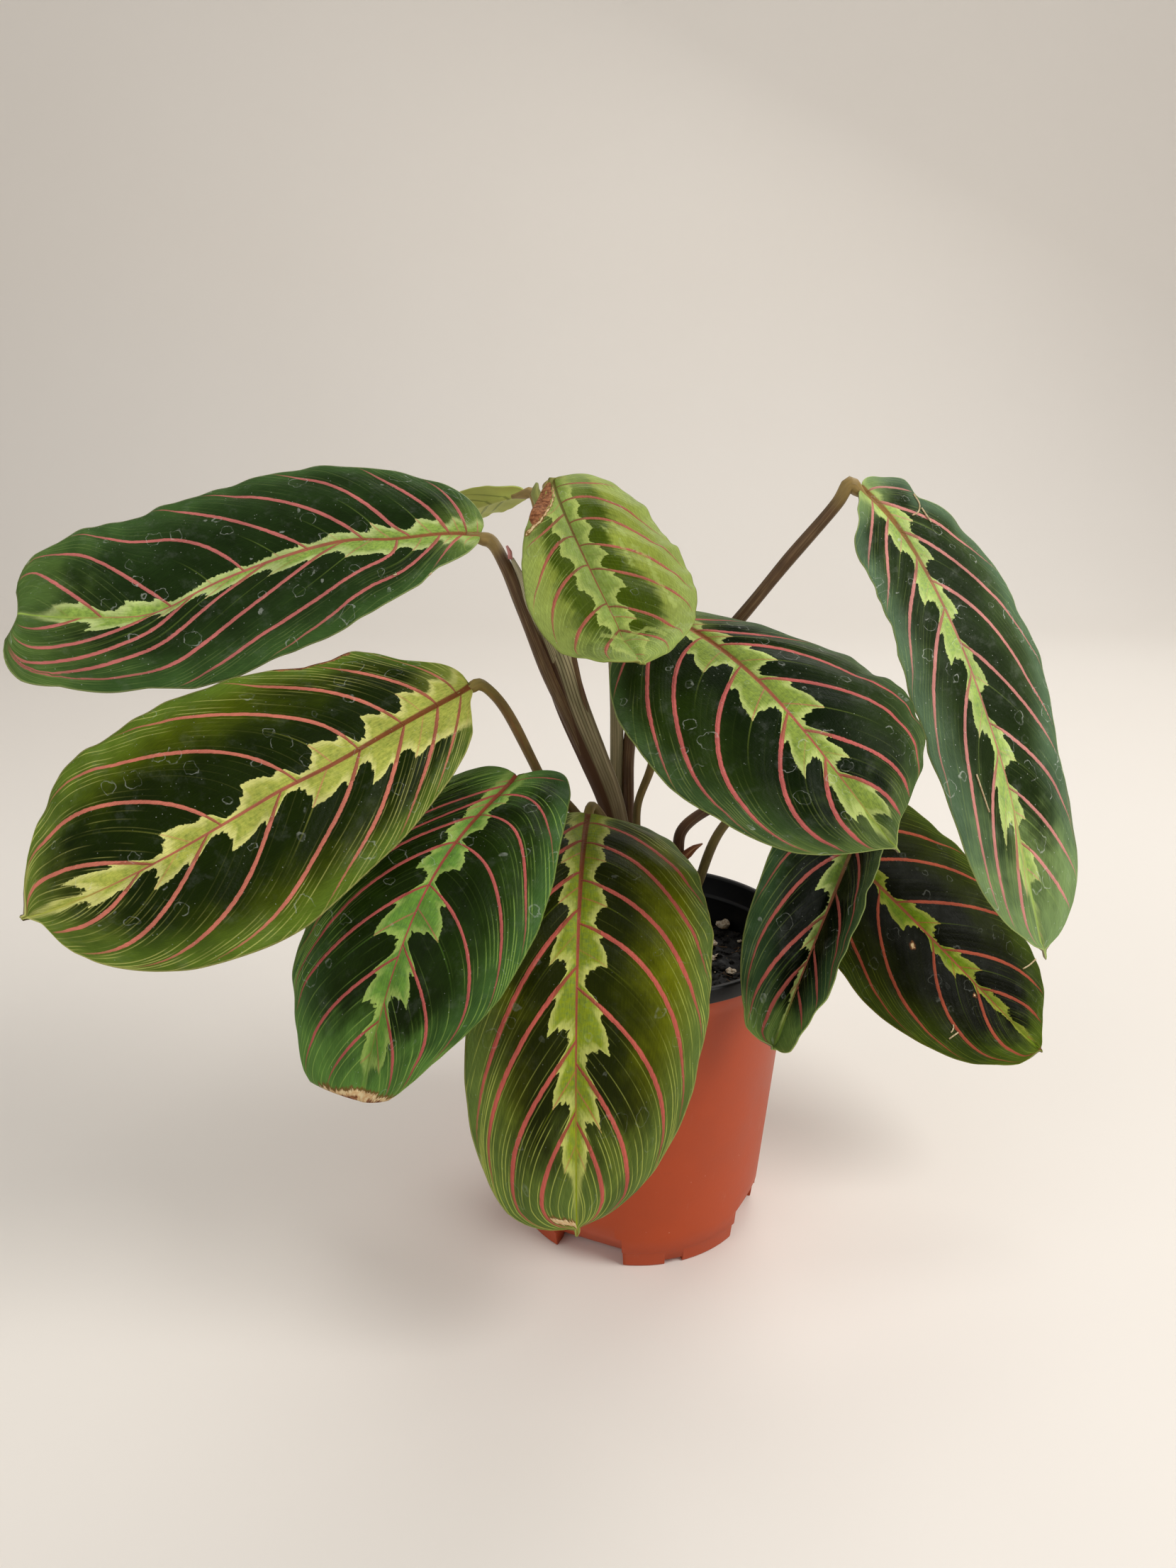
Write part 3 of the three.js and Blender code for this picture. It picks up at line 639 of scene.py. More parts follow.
# Dust and dried water marks: small pale specks, and thin closed lines where drops dried
def dust_group():
    tree, given, result = new_group("dust", {"Place": VECTOR, "Amount": FLOAT}, {"Mask": FLOAT})
    place = given["Place"]
    cells = tree.cells(place, 0.8)
    chance, _, _ = tree.split_colour(cells["Color"])
    specks = tree.times(tree.smooth(cells["Distance"], 0.06, 0.15, 1, 0), tree.smooth(chance, 0.6, 0.9))
    bent = tree.node("ShaderNodeVectorMath", operation="ADD")
    bends = [tree.times(tree.noise(place, scale, 2), 3) for scale in (0.4, 0.33)]
    tree.feed(bent.inputs[0], place)
    tree.feed(bent.inputs[1], tree.vector(*bends, 0.0))
    drops = tree.cells(bent.outputs[0], 0.16)
    chance, size, _ = tree.split_colour(drops["Color"])
    rim = tree.smooth(size, 0, 1, 0.16, 0.42)
    ring = tree.smooth(tree.gap(drops["Distance"], rim), 0.008, 0.028, 1, 0)
    broken = tree.smooth(tree.noise(place, 0.5, 2), 0.4, 0.6, 0.2, 1)
    dried = tree.times(tree.smooth(chance, 0.62, 0.7), broken)
    cloud = tree.smooth(tree.noise(place, 0.16, 5, 0.7), 0.52, 0.75, 0, 0.05)
    mask = tree.larger(tree.times(specks, 0.45), tree.times(ring, dried, 0.3))
    mask = tree.larger(mask, cloud)
    tree.feed(result["Mask"], tree.math("MULTIPLY", mask, given["Amount"], clamp=True))
    return tree.tree


# Fine lines from one vein to the next, on a blade and on its back
LINES_PER_VEIN = 8
BACK_LINES = 9

# Outline of one lobe of the pale band, from one vein (0) to the next (1): it widens to a
# spike, falls back in steps and leaves room for a dark finger beside the next vein
SPIKE = 0.43
LOBE_SHAPE = [
    (0, 0.62), (0.05, 0.74), (0.085, 0.62), (0.12, 0.60), (0.2, 0.80), (0.28, 0.93), (0.36, 0.96),
    (SPIKE, 1.0), (0.45, 0.93), (0.48, 0.68), (0.53, 0.50), (0.57, 0.46), (0.61, 0.30), (0.66, 0.17),
    (0.71, 0.12), (0.74, 0.01), (0.79, 0.05), (0.83, 0), (0.88, 0), (0.915, 0.1), (0.94, 0.36),
    (0.965, 0.55), (1, 0.62),
]


# Herring-bone pattern, in layers from the ground colour up to the worn places
def blade_numbers(tree):
    """The numbers that the corners of a blade carry, and one slow noise that layers share."""
    at = SimpleNamespace()
    at.phase, at.spacing, _ = tree.parts("vein")
    at.length, at.margin, at.midrib = tree.parts("reach")
    at.lobe_phase, at.spike, at.finger = tree.parts("feather")
    at.brown, at.cream, at.share = tree.parts("worn")
    at.streak, _, _ = tree.parts("marks")
    at.across, at.along, at.seed = tree.parts("flat")
    at.flat = tree.vector(at.across, at.along, at.seed)
    at.patches = tree.noise(at.flat, 0.09, 3)
    return at


def ground_colour(tree, given, at):
    """Deep beside the band, fading in streaks along the veins to the outer and margin colours. The margin
    zone widens towards the tip, partly as a painted sheen.
    """
    streaks = tree.noise(tree.vector(tree.times(at.phase, 11), tree.times(at.length, 0.05), at.seed), 1, 3)
    unevenness = tree.plus(tree.around(streaks, 6), tree.around(at.patches, 14))
    outward = tree.smooth(tree.plus(at.midrib, unevenness), given["Fade start"], given["Fade end"])
    blade = tree.mix(outward, given["Deep"], given["Outer"])
    # The blade's own paler margin, widened towards the tip as a painted sheen
    margin_and_sheen_width = tree.smooth(at.share, 0.2, 1, 7, 17)
    margin_and_sheen_zone = tree.times(tree.smooth(at.margin, 0.5, margin_and_sheen_width, 1, 0), 0.62)
    blade = tree.mix(margin_and_sheen_zone, blade, given["Margin"])
    squares = tree.plus(tree.times(at.along, at.along), tree.times(at.midrib, at.midrib))
    from_base = tree.math("POWER", squares, 0.5)
    base_zone = tree.smooth(tree.plus(from_base, unevenness), 3, 19, 0.75, 0)
    uneven_share = tree.plus(at.share, tree.times(unevenness, 0.02))
    tip_zone = tree.times(tree.smooth(uneven_share, 0.78, 0.97), given["Tip"])
    ends = tree.mix(0.5, given["Margin"], given["Pale"])
    return tree.mix(tree.larger(base_zone, tip_zone), blade, ends)


def fine_lines(tree, given, at, blade):
    """Fine pale lines beside the veins, mostly in the outer part. Also gives how far each
    place is from the nearest one, as a share of their spacing."""
    line_phase = tree.times(at.phase, LINES_PER_VEIN)
    away = tree.math("PINGPONG", line_phase, 0.5)
    distance = tree.times(away, tree.math("DIVIDE", at.spacing, LINES_PER_VEIN))
    line = tree.smooth(distance, 0.05, 0.2, 1, 0)
    zone = tree.larger(tree.smooth(at.margin, 4, 16, 1, 0.08), tree.smooth(at.share, 0.6, 0.95))
    place = tree.vector(tree.math("ROUND", line_phase), tree.times(at.length, 0.05), at.seed)
    strength = tree.smooth(tree.noise(place, 1.1, 2), 0.44, 0.62)
    pale = tree.mix(0.6, given["Pale"], given["Cream"])
    return tree.mix(tree.times(line, zone, strength, given["Lines"]), blade, pale), away


def pale_band(tree, given, at, blade):
    """The pale band with its feathered border, and the thin vein that runs to the point of
    each lobe and fades outside the band. Also gives the band's mask."""
    place = tree.math("FRACT", at.lobe_phase)
    ragged = tree.around(tree.noise(at.flat, 1.1, 3), 1.5)
    border = tree.plus(tree.blend(tree.curve(place, LOBE_SHAPE), at.finger, at.spike), ragged)
    border = tree.times(border, tree.smooth(at.share, 0.84, 1, 1, 0.1))
    inside = tree.minus(border, at.midrib)
    soft_base = tree.smooth(at.share, 0, 0.13, 2.4, 0.2)
    soft_tip = tree.smooth(at.share, 0.86, 0.98, 0.2, 1.4)
    band = tree.smooth(tree.math("DIVIDE", inside, tree.larger(soft_base, soft_tip)), -0.6, 1)
    mottled = tree.smooth(tree.noise(at.flat, 0.8, 4, 0.65), 0.38, 0.7, 0, 0.5)
    pale = tree.mix(mottled, given["Pale"], given["Margin"])
    pale = tree.mix(tree.smooth(inside, 0.2, 2.6, 0.95, 0), pale, given["Cream"])
    blade = tree.mix(tree.times(band, tree.smooth(at.share, 0.86, 1, 1, 0.45)), blade, pale)

    thin = tree.smooth(tree.times(tree.gap(place, SPIKE), at.spacing), 0.08, 0.28, 1, 0)
    reach = tree.smooth(tree.minus(at.midrib, border), -1, 12, 1, 0)
    lobe = tree.vector(tree.math("FLOOR", at.lobe_phase), at.seed, 3)
    chosen = tree.smooth(tree.noise(lobe, 1.3, 0), 0.4, 0.6)
    thin_colour = tree.mix(band, given["Pale"], given["Vein"])
    thin = tree.times(thin, reach, chosen, tree.blend(band, 0.25, 0.6))
    return tree.mix(thin, blade, thin_colour), band


def veins_and_midrib(tree, given, at, blade, band, lines):
    """Red veins, duller in the band and paler at their ends, and the midrib over them."""
    vein_colour = tree.mix(tree.times(band, 0.55), given["Vein"], given["Midrib"])
    vein_colour = tree.mix(tree.times(lines["End"], 0.3), vein_colour, given["Margin"])
    blade = tree.mix(lines["Mask"], blade, vein_colour)
    rib_width = tree.times(given["Midrib width"], tree.smooth(at.share, -0.1, 0.8, 0.8, 0.2))
    rib_line = tree.smooth(tree.math("DIVIDE", at.midrib, rib_width), 0.7, 1.2, 1, 0)
    rib_colour = tree.mix(tree.smooth(at.share, 0.15, 0.55, 0, 0.55), given["Midrib"], given["Vein"])
    rib_colour = tree.mix(tree.smooth(at.share, 0.7, 0.95), rib_colour, given["Pale"])
    return tree.mix(rib_line, blade, rib_colour)


def worn_places(tree, given, at, blade):
    """The thin pale edge, rubbed streaks, and dry patches with their layers."""
    blade = tree.mix(tree.smooth(at.margin, 0.15, 0.55, 0.65, 0), blade, given["Cream"])
    torn = tree.around(tree.noise(at.flat, 0.7, 4, 0.6), 2.2)
    blade = tree.mix(tree.smooth(tree.plus(at.streak, torn), -0.2, 0.5, 0.6, 0), blade, given["Cream"])
    layers = tree.noise(tree.vector(tree.times(at.across, 0.3), at.along, at.seed), 1.4, 4, 0.65)
    layers = tree.smooth(layers, 0.35, 0.65)
    cream = tree.plus(at.cream, torn)
    blade = tree.mix(tree.smooth(cream, 0.2, 0.7, 0.8, 0), blade, colour(112, 66, 36))
    straw = tree.mix(layers, colour(196, 158, 112), colour(216, 196, 152))
    blade = tree.mix(tree.smooth(cream, -0.2, 0.15, 1, 0), blade, straw)
    dry = tree.mix(layers, colour(98, 58, 36), colour(158, 106, 70))
    return tree.mix(tree.smooth(tree.plus(at.brown, torn), -0.3, 0.2, 1, 0), blade, dry)


def herring_bone_group(vein_lines, dust):
    """The blade's skin: colour, roughness and relief."""
    colours = ("Outer", "Deep", "Pale", "Cream", "Margin", "Vein", "Midrib")
    numbers = ("Fade start", "Fade end", "Vein width", "Midrib width", "Lines", "Dust", "Tip")
    inputs = {name: COLOUR for name in colours} | {name: FLOAT for name in numbers}
    tree, given, result = new_group(
        "herring_bone", inputs, {"Color": COLOUR, "Roughness": FLOAT, "Height": FLOAT}
    )
    at = blade_numbers(tree)
    lines = tree.place(vein_lines, Width=given["Vein width"])
    dusty = tree.place(dust, Place=at.flat, Amount=given["Dust"])["Mask"]
    cross_ribs = tree.vector(tree.times(at.length, 2.4), tree.times(at.phase, 5), at.seed)
    ribs = tree.noise(cross_ribs, 1, 2)

    blade = ground_colour(tree, given, at)
    blade, line_away = fine_lines(tree, given, at, blade)
    blade, band = pale_band(tree, given, at, blade)
    blade = veins_and_midrib(tree, given, at, blade, band, lines)
    shade = tree.smooth(at.patches, 0.25, 0.75, 0.84, 1.16)
    blade = tree.shaded(blade, tree.times(shade, tree.smooth(ribs, 0.3, 0.7, 0.88, 1.14)))
    blade = tree.mix(dusty, blade, colour(205, 210, 200))
    tree.feed(result["Color"], worn_places(tree, given, at, blade))

    rough = tree.smooth(tree.noise(at.flat, 0.35, 3), 0.2, 0.8, 0.36, 0.5)
    tree.feed(result["Roughness"], tree.plus(rough, tree.times(dusty, 0.3)))
    tree.feed(result["Height"], tree.plus(
        tree.times(lines["Core"], lines["Mask"]),
        tree.times(ribs, 0.35),
        tree.times(tree.smooth(line_away, 0, 0.5), 0.16),
        tree.times(tree.noise(at.flat, 1.6, 3), 0.6),
    ))
    return tree.tree


# Colours and numbers that every leaf starts from, and what each leaf has of its own
LEAF_LOOK = {
    "Outer": (40, 62, 16), "Deep": (20, 36, 4), "Pale": (142, 170, 66), "Cream": (178, 192, 112),
    "Margin": (64, 94, 44), "Vein": (176, 88, 82), "Midrib": (140, 88, 54), "Fade start": 6.0,
    "Fade end": 30.0, "Vein width": 1.05, "Midrib width": 1.3, "Lines": 0.3, "Dust": 0.7, "Tip": 0.2,
}
OLIVE = {
    "Outer": (96, 102, 8), "Deep": (34, 40, 0), "Margin": (92, 118, 40), "Midrib": (116, 68, 34),
    "Fade start": 9.0, "Fade end": 30.0, "Lines": 0.6, "Dust": 0.3,
}
LEAF_LOOKS = {
    "upper_left": {
        "Outer": (38, 58, 24), "Deep": (24, 40, 10), "Pale": (142, 168, 76), "Cream": (178, 192, 124),
        "Vein": (184, 104, 98), "Vein width": 1.15, "Lines": 0.12, "Dust": 0.9,
    },
    "middle_left": {
        **OLIVE, "Outer": (70, 82, 6), "Deep": (20, 32, 0), "Pale": (166, 170, 76),
        "Cream": (200, 198, 120), "Vein": (190, 110, 92), "Fade start": 13.0, "Fade end": 34.0,
        "Lines": 0.5, "Dust": 0.7,
    },
    "lower_left": {
        "Outer": (42, 64, 18), "Deep": (18, 32, 0), "Pale": (100, 140, 54), "Cream": (144, 168, 84),
        "Margin": (70, 106, 52), "Midrib": (132, 66, 46), "Vein width": 0.85, "Midrib width": 0.95,
        "Lines": 0.75, "Tip": 0.8,
    },
    "front": {
        **OLIVE, "Deep": (28, 34, 0), "Pale": (132, 146, 34), "Cream": (182, 186, 100),
        "Margin": (82, 110, 62), "Vein": (180, 88, 76), "Vein width": 1.25, "Lines": 0.8, "Tip": 0.4,
    },
    "young": {
        "Outer": (130, 142, 56), "Deep": (60, 76, 4), "Pale": (118, 138, 60), "Cream": (158, 172, 90),
        "Margin": (138, 154, 84), "Midrib": (92, 84, 38), "Vein": (158, 88, 70), "Fade start": 9.0,
        "Fade end": 14.0, "Vein width": 1.05, "Midrib width": 0.7, "Lines": 1.0, "Dust": 0.5,
        "Tip": 0.9,
    },
    "centre_right": {
        "Outer": (34, 50, 10), "Deep": (10, 24, 0), "Pale": (138, 158, 66), "Margin": (70, 94, 54),
        "Vein": (180, 92, 86), "Vein width": 1.2, "Lines": 0.2, "Dust": 0.9, "Tip": 0.35,
    },
    # far_right: its own colours, with a painted sheen in the lighter, greyer outer colour and the silvery
    # margin
    "far_right": {
        "Outer": (62, 80, 44), "Deep": (28, 42, 12), "Pale": (160, 186, 94), "Cream": (182, 200, 120),
        "Margin": (100, 128, 98), "Vein": (202, 134, 126), "Midrib": (140, 104, 60),
        "Vein width": 1.15, "Midrib width": 1.5, "Lines": 0.14, "Dust": 1.4, "Tip": 0.6,
    },
    "low_right": {
        **OLIVE, "Outer": (38, 46, 0), "Deep": (9, 12, 0), "Pale": (104, 128, 24),
        "Cream": (140, 148, 56), "Margin": (62, 80, 18), "Midrib": (124, 78, 44),
        "Vein": (158, 76, 54), "Vein width": 1.15, "Lines": 0.25, "Tip": 0.5,
    },
    "folded": {
        "Outer": (26, 42, 6), "Deep": (4, 10, 0), "Pale": (118, 144, 58), "Margin": (64, 92, 56),
        "Vein": (164, 84, 74), "Midrib": (118, 92, 52), "Vein width": 1.15, "Midrib width": 0.8,
        "Lines": 0.25, "Tip": 0.8,
    },
    "rolled": {
        "Outer": (136, 148, 56), "Deep": (100, 122, 38), "Pale": (156, 168, 78), "Vein": (150, 92, 58),
        "Vein width": 0.8,
    },
}


def leaf_material(name, herring_bone):
    material, tree, shader = new_material("blade_" + name)
    pattern = tree.place(herring_bone, **(LEAF_LOOK | LEAF_LOOKS[name]))
    tree.feed(shader.inputs["Base Color"], pattern["Color"])
    tree.feed(shader.inputs["Roughness"], pattern["Roughness"])
    shader.inputs["Specular IOR Level"].default_value = 0.06
    bump(tree, shader, pattern["Height"], 0.00022, 0.7)
    return material


def underside_material(name, base, line_colour, vein_lines, crispness=0.3):
    """The pale back of a blade, with its veins standing out as thin lines."""
    material, tree, shader = new_material("underside_" + name)
    phase, spacing, _ = tree.parts("vein")
    flat = tree.vector(*tree.parts("flat"))
    fine = tree.times(tree.math("PINGPONG", tree.times(phase, BACK_LINES), 0.5), spacing)
    fine = tree.smooth(tree.math("DIVIDE", fine, BACK_LINES), 0.05, 0.3, crispness, 0)
    lines = tree.place(vein_lines, Width=1.1)
    shadow = [0.8 * part for part in base[:3]] + [1.0]
    skin = tree.mix(tree.smooth(tree.noise(flat, 0.12, 4), 0.3, 0.7), base, shadow)
    skin = tree.mix(fine, skin, line_colour)
    skin = tree.mix(tree.times(lines["Mask"], 0.75), skin, line_colour)
    tree.feed(shader.inputs["Base Color"], skin)
    shader.inputs["Roughness"].default_value = 0.55
    shader.inputs["Specular IOR Level"].default_value = 0.35
    bump(tree, shader, tree.plus(lines["Mask"], tree.times(tree.noise(flat, 0.7, 2), 0.3)), 0.0002, 0.5)
    return material


# Mesh helpers
def finished(name, mesh, node, materials, smooth=True):
    """Wrap a mesh as a piece that rides on the root and stands for its CAD node."""
    for material in materials:
        mesh.materials.append(material)
    mesh.polygons.foreach_set("use_smooth", [smooth] * len(mesh.polygons))
    piece = bpy.data.objects.new(name, mesh)
    bpy.context.collection.objects.link(piece)
    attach(piece, "root")
    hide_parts(node)


def new_mesh(name, points, faces):
    """A mesh from points in millimetres."""
    mesh = bpy.data.meshes.new(name)
    places = (np.asarray(points, float) * MM).tolist()
    mesh.from_pydata(places, [], [list(map(int, face)) for face in faces])
    mesh.update()
    return mesh


def write_vectors(mesh, name, domain, values):
    attribute = mesh.attributes.new(name, "FLOAT_VECTOR", domain)
    attribute.data.foreach_set("vector", np.asarray(values, np.float32).ravel())


def circle(sides):
    """The corners of a circle with a radius of 1."""
    turns = np.arange(sides) * 2 * np.pi / sides
    return np.stack([np.cos(turns), np.sin(turns)], axis=1)


def unit(vectors):
    return vectors / np.maximum(np.linalg.norm(vectors, axis=-1, keepdims=True), 1e-9)


def ease(value, low, high):
    """A soft step from 0 at low to 1 at high."""
    share = np.clip((value - low) / (high - low), 0, 1)
    return share * share * (3 - 2 * share)


def along_table(table, u, blur):
    """Read a table of (u, value) with its corners rounded over the given width."""
    table = np.asarray(table, float)
    shifts = np.linspace(-blur, blur, 7)
    return np.mean([np.interp(u + shift, table[:, 0], table[:, 1]) for shift in shifts], axis=0)


# Blades
def fullness(side, u):
    """Share of the full width that a side of the blade has at u."""
    widest = side["widest"]
    base = u < widest
    to_end = np.where(base, (widest - u) / widest, (u - widest) / (BLADE_END - widest))
    full = np.where(base, *side["full"])
    blunt = np.where(base, *side["blunt"])
    return (1 - np.clip(to_end, 0, 1) ** full) ** blunt


def midrib_line(leaf, u):
    """Points and directions of the curve that passes through the four midrib points."""
    p0, p1, p2, p3 = (np.array(point, float) for point in leaf["midrib"])
    leave = -5 / 6 * p0 + 3 * p1 - 3 / 2 * p2 + 1 / 3 * p3
    arrive = 1 / 3 * p0 - 3 / 2 * p1 + 3 * p2 - 5 / 6 * p3
    u = np.asarray(u, float)[..., None]
    w = 1 - u
    place = w**3 * p0 + 3 * w * w * u * leave + 3 * w * u * u * arrive + u**3 * p3
    way = 3 * w * w * (leave - p0) + 6 * w * u * (arrive - leave) + 3 * u * u * (p3 - arrive)
    return place, unit(way)


def side_points(leaf, key, u, v):
    """Points of one side's arc, which runs on smoothly a little beyond the midrib."""
    side = leaf[key]
    sign = 1 if key == "right" else -1
    place, along = midrib_line(leaf, u)
    first, last = (np.array(facing, float) for facing in leaf["facing"])
    facing = first * (1 - u[..., None]) + last * u[..., None]
    across = unit(np.cross(along, facing))
    up = np.cross(across, along)
    out = sign * v
    share = fullness(side, u)
    point = np.clip((1 - u) / TIP_RISE, 0, 1) * np.clip((u - TIP_START) / TIP_RISE, 0, 1)
    width = side["width"] * share + TIP_WIDTH * point + EDGE_WIDTH
    rise = math.radians(side["rise"])
    turn = math.radians(side["droop"] or 0.01)
    lean = rise - turn * out
    height, count, start = leaf["wave"]
    wave = height * out * out * np.sin(2 * np.pi * (count * u + start) + (0 if sign > 0 else WAVE_SHIFT))
    reach = np.where(u < side["widest"], -leaf["lobe"] - side["behind"], side["beyond"])
    lobe = reach * np.sin(np.pi * share) * np.abs(out) ** 1.5
    sideways = sign * width * (math.sin(rise) - np.sin(lean)) / turn
    upward = width * (np.cos(lean) - math.cos(rise)) / turn + wave
    return place + across * sideways[..., None] + up * upward[..., None] + along * lobe[..., None]


def vein_places(veins, shift, t):
    """Share along the blade of each vein at each distance t from the midrib."""
    near, wide = VEIN_MIDDLE - shift, VEIN_FAR - shift
    places = []
    for start, middle, far, _, _ in veins:
        slopes = np.linalg.solve([[near, near**3], [wide, wide**3]], [middle - start, far - start])
        places.append(start + slopes[0] * t + slopes[1] * t**3)
    for k in range(1, len(places)):
        places[k] = np.maximum(places[k], places[k - 1] + VEIN_GAP)
    return places


def vein_phase(places, u):
    """A number that is k on vein k and runs evenly between the veins."""
    phase = (u - places[0]) / np.maximum(places[1] - places[0], END_GAP)
    for k in range(len(places) - 1):
        inside = k + (u - places[k]) / (places[k + 1] - places[k])
        phase = np.where(u >= places[k], inside, phase)
    last = len(places) - 1
    beyond = last + (u - places[last]) / np.maximum(places[last] - places[last - 1], END_GAP)
    return np.where(u >= places[last], beyond, phase)


def vein_spacing(points, phase):
    """Millimetres from vein to vein, from the slope of the phase over the surface."""
    down, over = np.gradient(points, axis=0), np.gradient(points, axis=1)
    phase_down, phase_over = np.gradient(phase, axis=0), np.gradient(phase, axis=1)
    e, f, g = (down * down).sum(-1), (down * over).sum(-1), (over * over).sum(-1)
    slope = g * phase_down**2 - 2 * f * phase_down * phase_over + e * phase_over**2
    return np.clip(np.sqrt(np.maximum(e * g - f * f, 1e-12) / np.maximum(slope, 1e-12)), 0.5, 40)


def run_along_veins(veins, shift, t, phase, lengths):
    """Millimetres from the midrib to each place, measured along the veins beside it."""
    samples = np.linspace(0, VEIN_REACH, 60)
    lines = np.array(vein_places(veins, shift, samples))
    runs = np.hypot(np.diff(lines, axis=1) * lengths[0], np.diff(samples) * lengths[1])
    runs = np.concatenate([np.zeros((len(veins), 1)), np.cumsum(runs, axis=1)], axis=1)
    spot = t / samples[-1] * (len(samples) - 1)
    low = np.clip(spot.astype(int), 0, len(samples) - 2)
    whole = np.clip(np.floor(phase).astype(int), 0, len(veins) - 2)
    part = np.clip(phase - whole, 0, 1)
    run = 0
    for k, share in ((whole, 1 - part), (whole + 1, part)):
        run = run + share * (runs[k, low] + (runs[k, low + 1] - runs[k, low]) * (spot - low))
    return run


def lobe_phase(phase, spike_place):
    """The phase, bent so that the spike of each lobe comes at its place between the veins."""
    fraction = phase - np.floor(phase)
    bent = np.where(
        fraction < spike_place,
        fraction * SPIKE / spike_place,
        SPIKE + (fraction - spike_place) * (1 - SPIKE) / (1 - spike_place),
    )
    return np.floor(phase) + bent


def stroke_distance(strokes, u, v, lengths):
    """Millimetres to the edge of the nearest stroke, less than 0 inside it.

    A stroke is a line of (u, v) and a radius in mm.
    """
    nearest = np.full_like(u, 9.0)
    here = np.stack([u * lengths[0], v * lengths[1]], axis=-1)
    for line, radius in strokes:
        for start, end in zip(line, line[1:]):
            start, end = np.multiply(start, lengths), np.multiply(end, lengths)
            run = end - start
            share = np.clip(((here - start) @ run) / (run @ run), 0, 1)
            distance = np.linalg.norm(here - start - share[..., None] * run, axis=-1)
            nearest = np.minimum(nearest, distance - radius)
    return nearest


def side_pattern(leaf, key, points, u, v, wander, seed):
    """The numbers that the blade's material reads, on one side of the midrib."""
    veins = leaf[key + "_veins"]
    sign = 1 if key == "right" else -1
    width = leaf[key]["width"]
    length = np.linalg.norm(np.subtract(leaf["midrib"][3], leaf["midrib"][0])) * ARC_SHARE
    lengths = (length, width)
    t = np.clip(np.abs(v - wander[:, None]), 0, VEIN_REACH)
    shift = sign * float(np.mean(wander))
    phase = vein_phase(vein_places(veins, shift, t), u)
    nearest = np.round(phase)
    strength = ((nearest >= 0) & (nearest < len(veins))).astype(float)

    # Distances in millimetres from the midrib and to the nearest part of the margin
    steps = np.linalg.norm(np.diff(points, axis=1), axis=-1)
    midrib = np.concatenate([np.zeros((len(points), 1)), np.cumsum(steps, axis=1)], axis=1)
    margin = np.minimum(midrib[:, -1:] - midrib, (leaf.get("end", 1) - u) * length + 0.2)
    margin = np.minimum(margin, u * length + 0.2)

    index = np.clip(np.floor(phase).astype(int), 0, len(veins) - 1)
    table = np.array(veins)
    brown, cream, streak = (
        stroke_distance(leaf.get(kind, ()), u, v, lengths) for kind in ("brown", "cream", "streak")
    )
    return {
        "vein": (phase, vein_spacing(points, phase), strength),
        "reach": (run_along_veins(veins, shift, t, phase, lengths), margin, midrib),
        "feather": (
            lobe_phase(phase, leaf.get("spike_place", SPIKE)),
            table[index, 3] * width,
            table[index, 4] * width,
        ),
        "worn": (brown, cream, u),
        "marks": (streak, np.zeros_like(u), np.zeros_like(u)),
        "flat": (v * width, u * length, np.full_like(u, seed)),
    }


def blade_grid(leaf):
    """The blade's middle surface on a grid that follows the margins and the midrib."""
    x = np.linspace(0, 1, BLADE_ROWS + 1)
    rows = leaf.get("end", 1) * (0.5 * x + 0.25 * (1 - np.cos(np.pi * x)))
    wander = along_table(leaf.get("wander", [(0, 0), (1, 0)]), rows, 0.03)
    out = np.linspace(0, 1, HALF_COLUMNS + 1)
    whole = [(0, 1), (1, 1)]
    edges = {key: along_table(leaf.get(key + "_edge", whole), rows, 0.005) for key in SIDES}
    left = wander[:, None] - out[None, :0:-1] * (edges["left"] + wander)[:, None]
    right = wander[:, None] + out[None, :] * (edges["right"] - wander)[:, None]
    v = np.concatenate([left, right], axis=1)
    u = np.repeat(rows[:, None], v.shape[1], axis=1)
    crease = 0.1 + np.abs(wander)[:, None]
    weight = ease(v, -crease, crease)[..., None]
    points = weight * side_points(leaf, "right", u, v) + (1 - weight) * side_points(leaf, "left", u, v)
    if "curl" in leaf:
        start, lift = leaf["curl"]
        dip = 0.25 * lift * np.exp(-(((u - start) * 30) ** 2))
        facing = unit(np.array(leaf["facing"][1], float))
        points = points + facing * (lift * ease(u, start, 1) - dip)[..., None]
    return u, v, wander, points


def surface_normals(points):
    return unit(np.cross(np.gradient(points, axis=1), np.gradient(points, axis=0)))


def across_blade(patterns, label, place):
    """One of a pattern's numbers over the whole blade, from the left margin to the right one."""
    left, right = (patterns[key][label][place] for key in SIDES)
    return np.concatenate([left[:, :0:-1], right], axis=1)


def blade_relief(u, v, patterns, wave_seed):
    """How far the blade rises between its veins and sinks at them and at the midrib, in mm."""
    phase = across_blade(patterns, "vein", 0)
    margin, midrib = (across_blade(patterns, "reach", place) for place in (1, 2))
    draw = random.Random(wave_seed)
    quilt = -QUILT * np.cos(2 * np.pi * phase) * ease(midrib, 1, 8) * ease(margin, 0, 9)
    valley = -VALLEY * np.exp(-midrib / VALLEY_WIDTH)
    valley = valley - GROOVE * np.exp(-((midrib / GROOVE_WIDTH) ** 2))
    ripple = 0
    for count in (5, 9, 15):
        start = draw.random() * FULL_TURN
        skew = draw.uniform(0.5, 2)
        wave = np.sin(2 * np.pi * count * u + start + skew * np.sign(v))
        ripple = ripple + RIPPLE / count * wave
    return quilt + valley * ease(margin, 0, 4) + ripple * np.abs(v) ** 3 * ease(u, 0, 0.1)


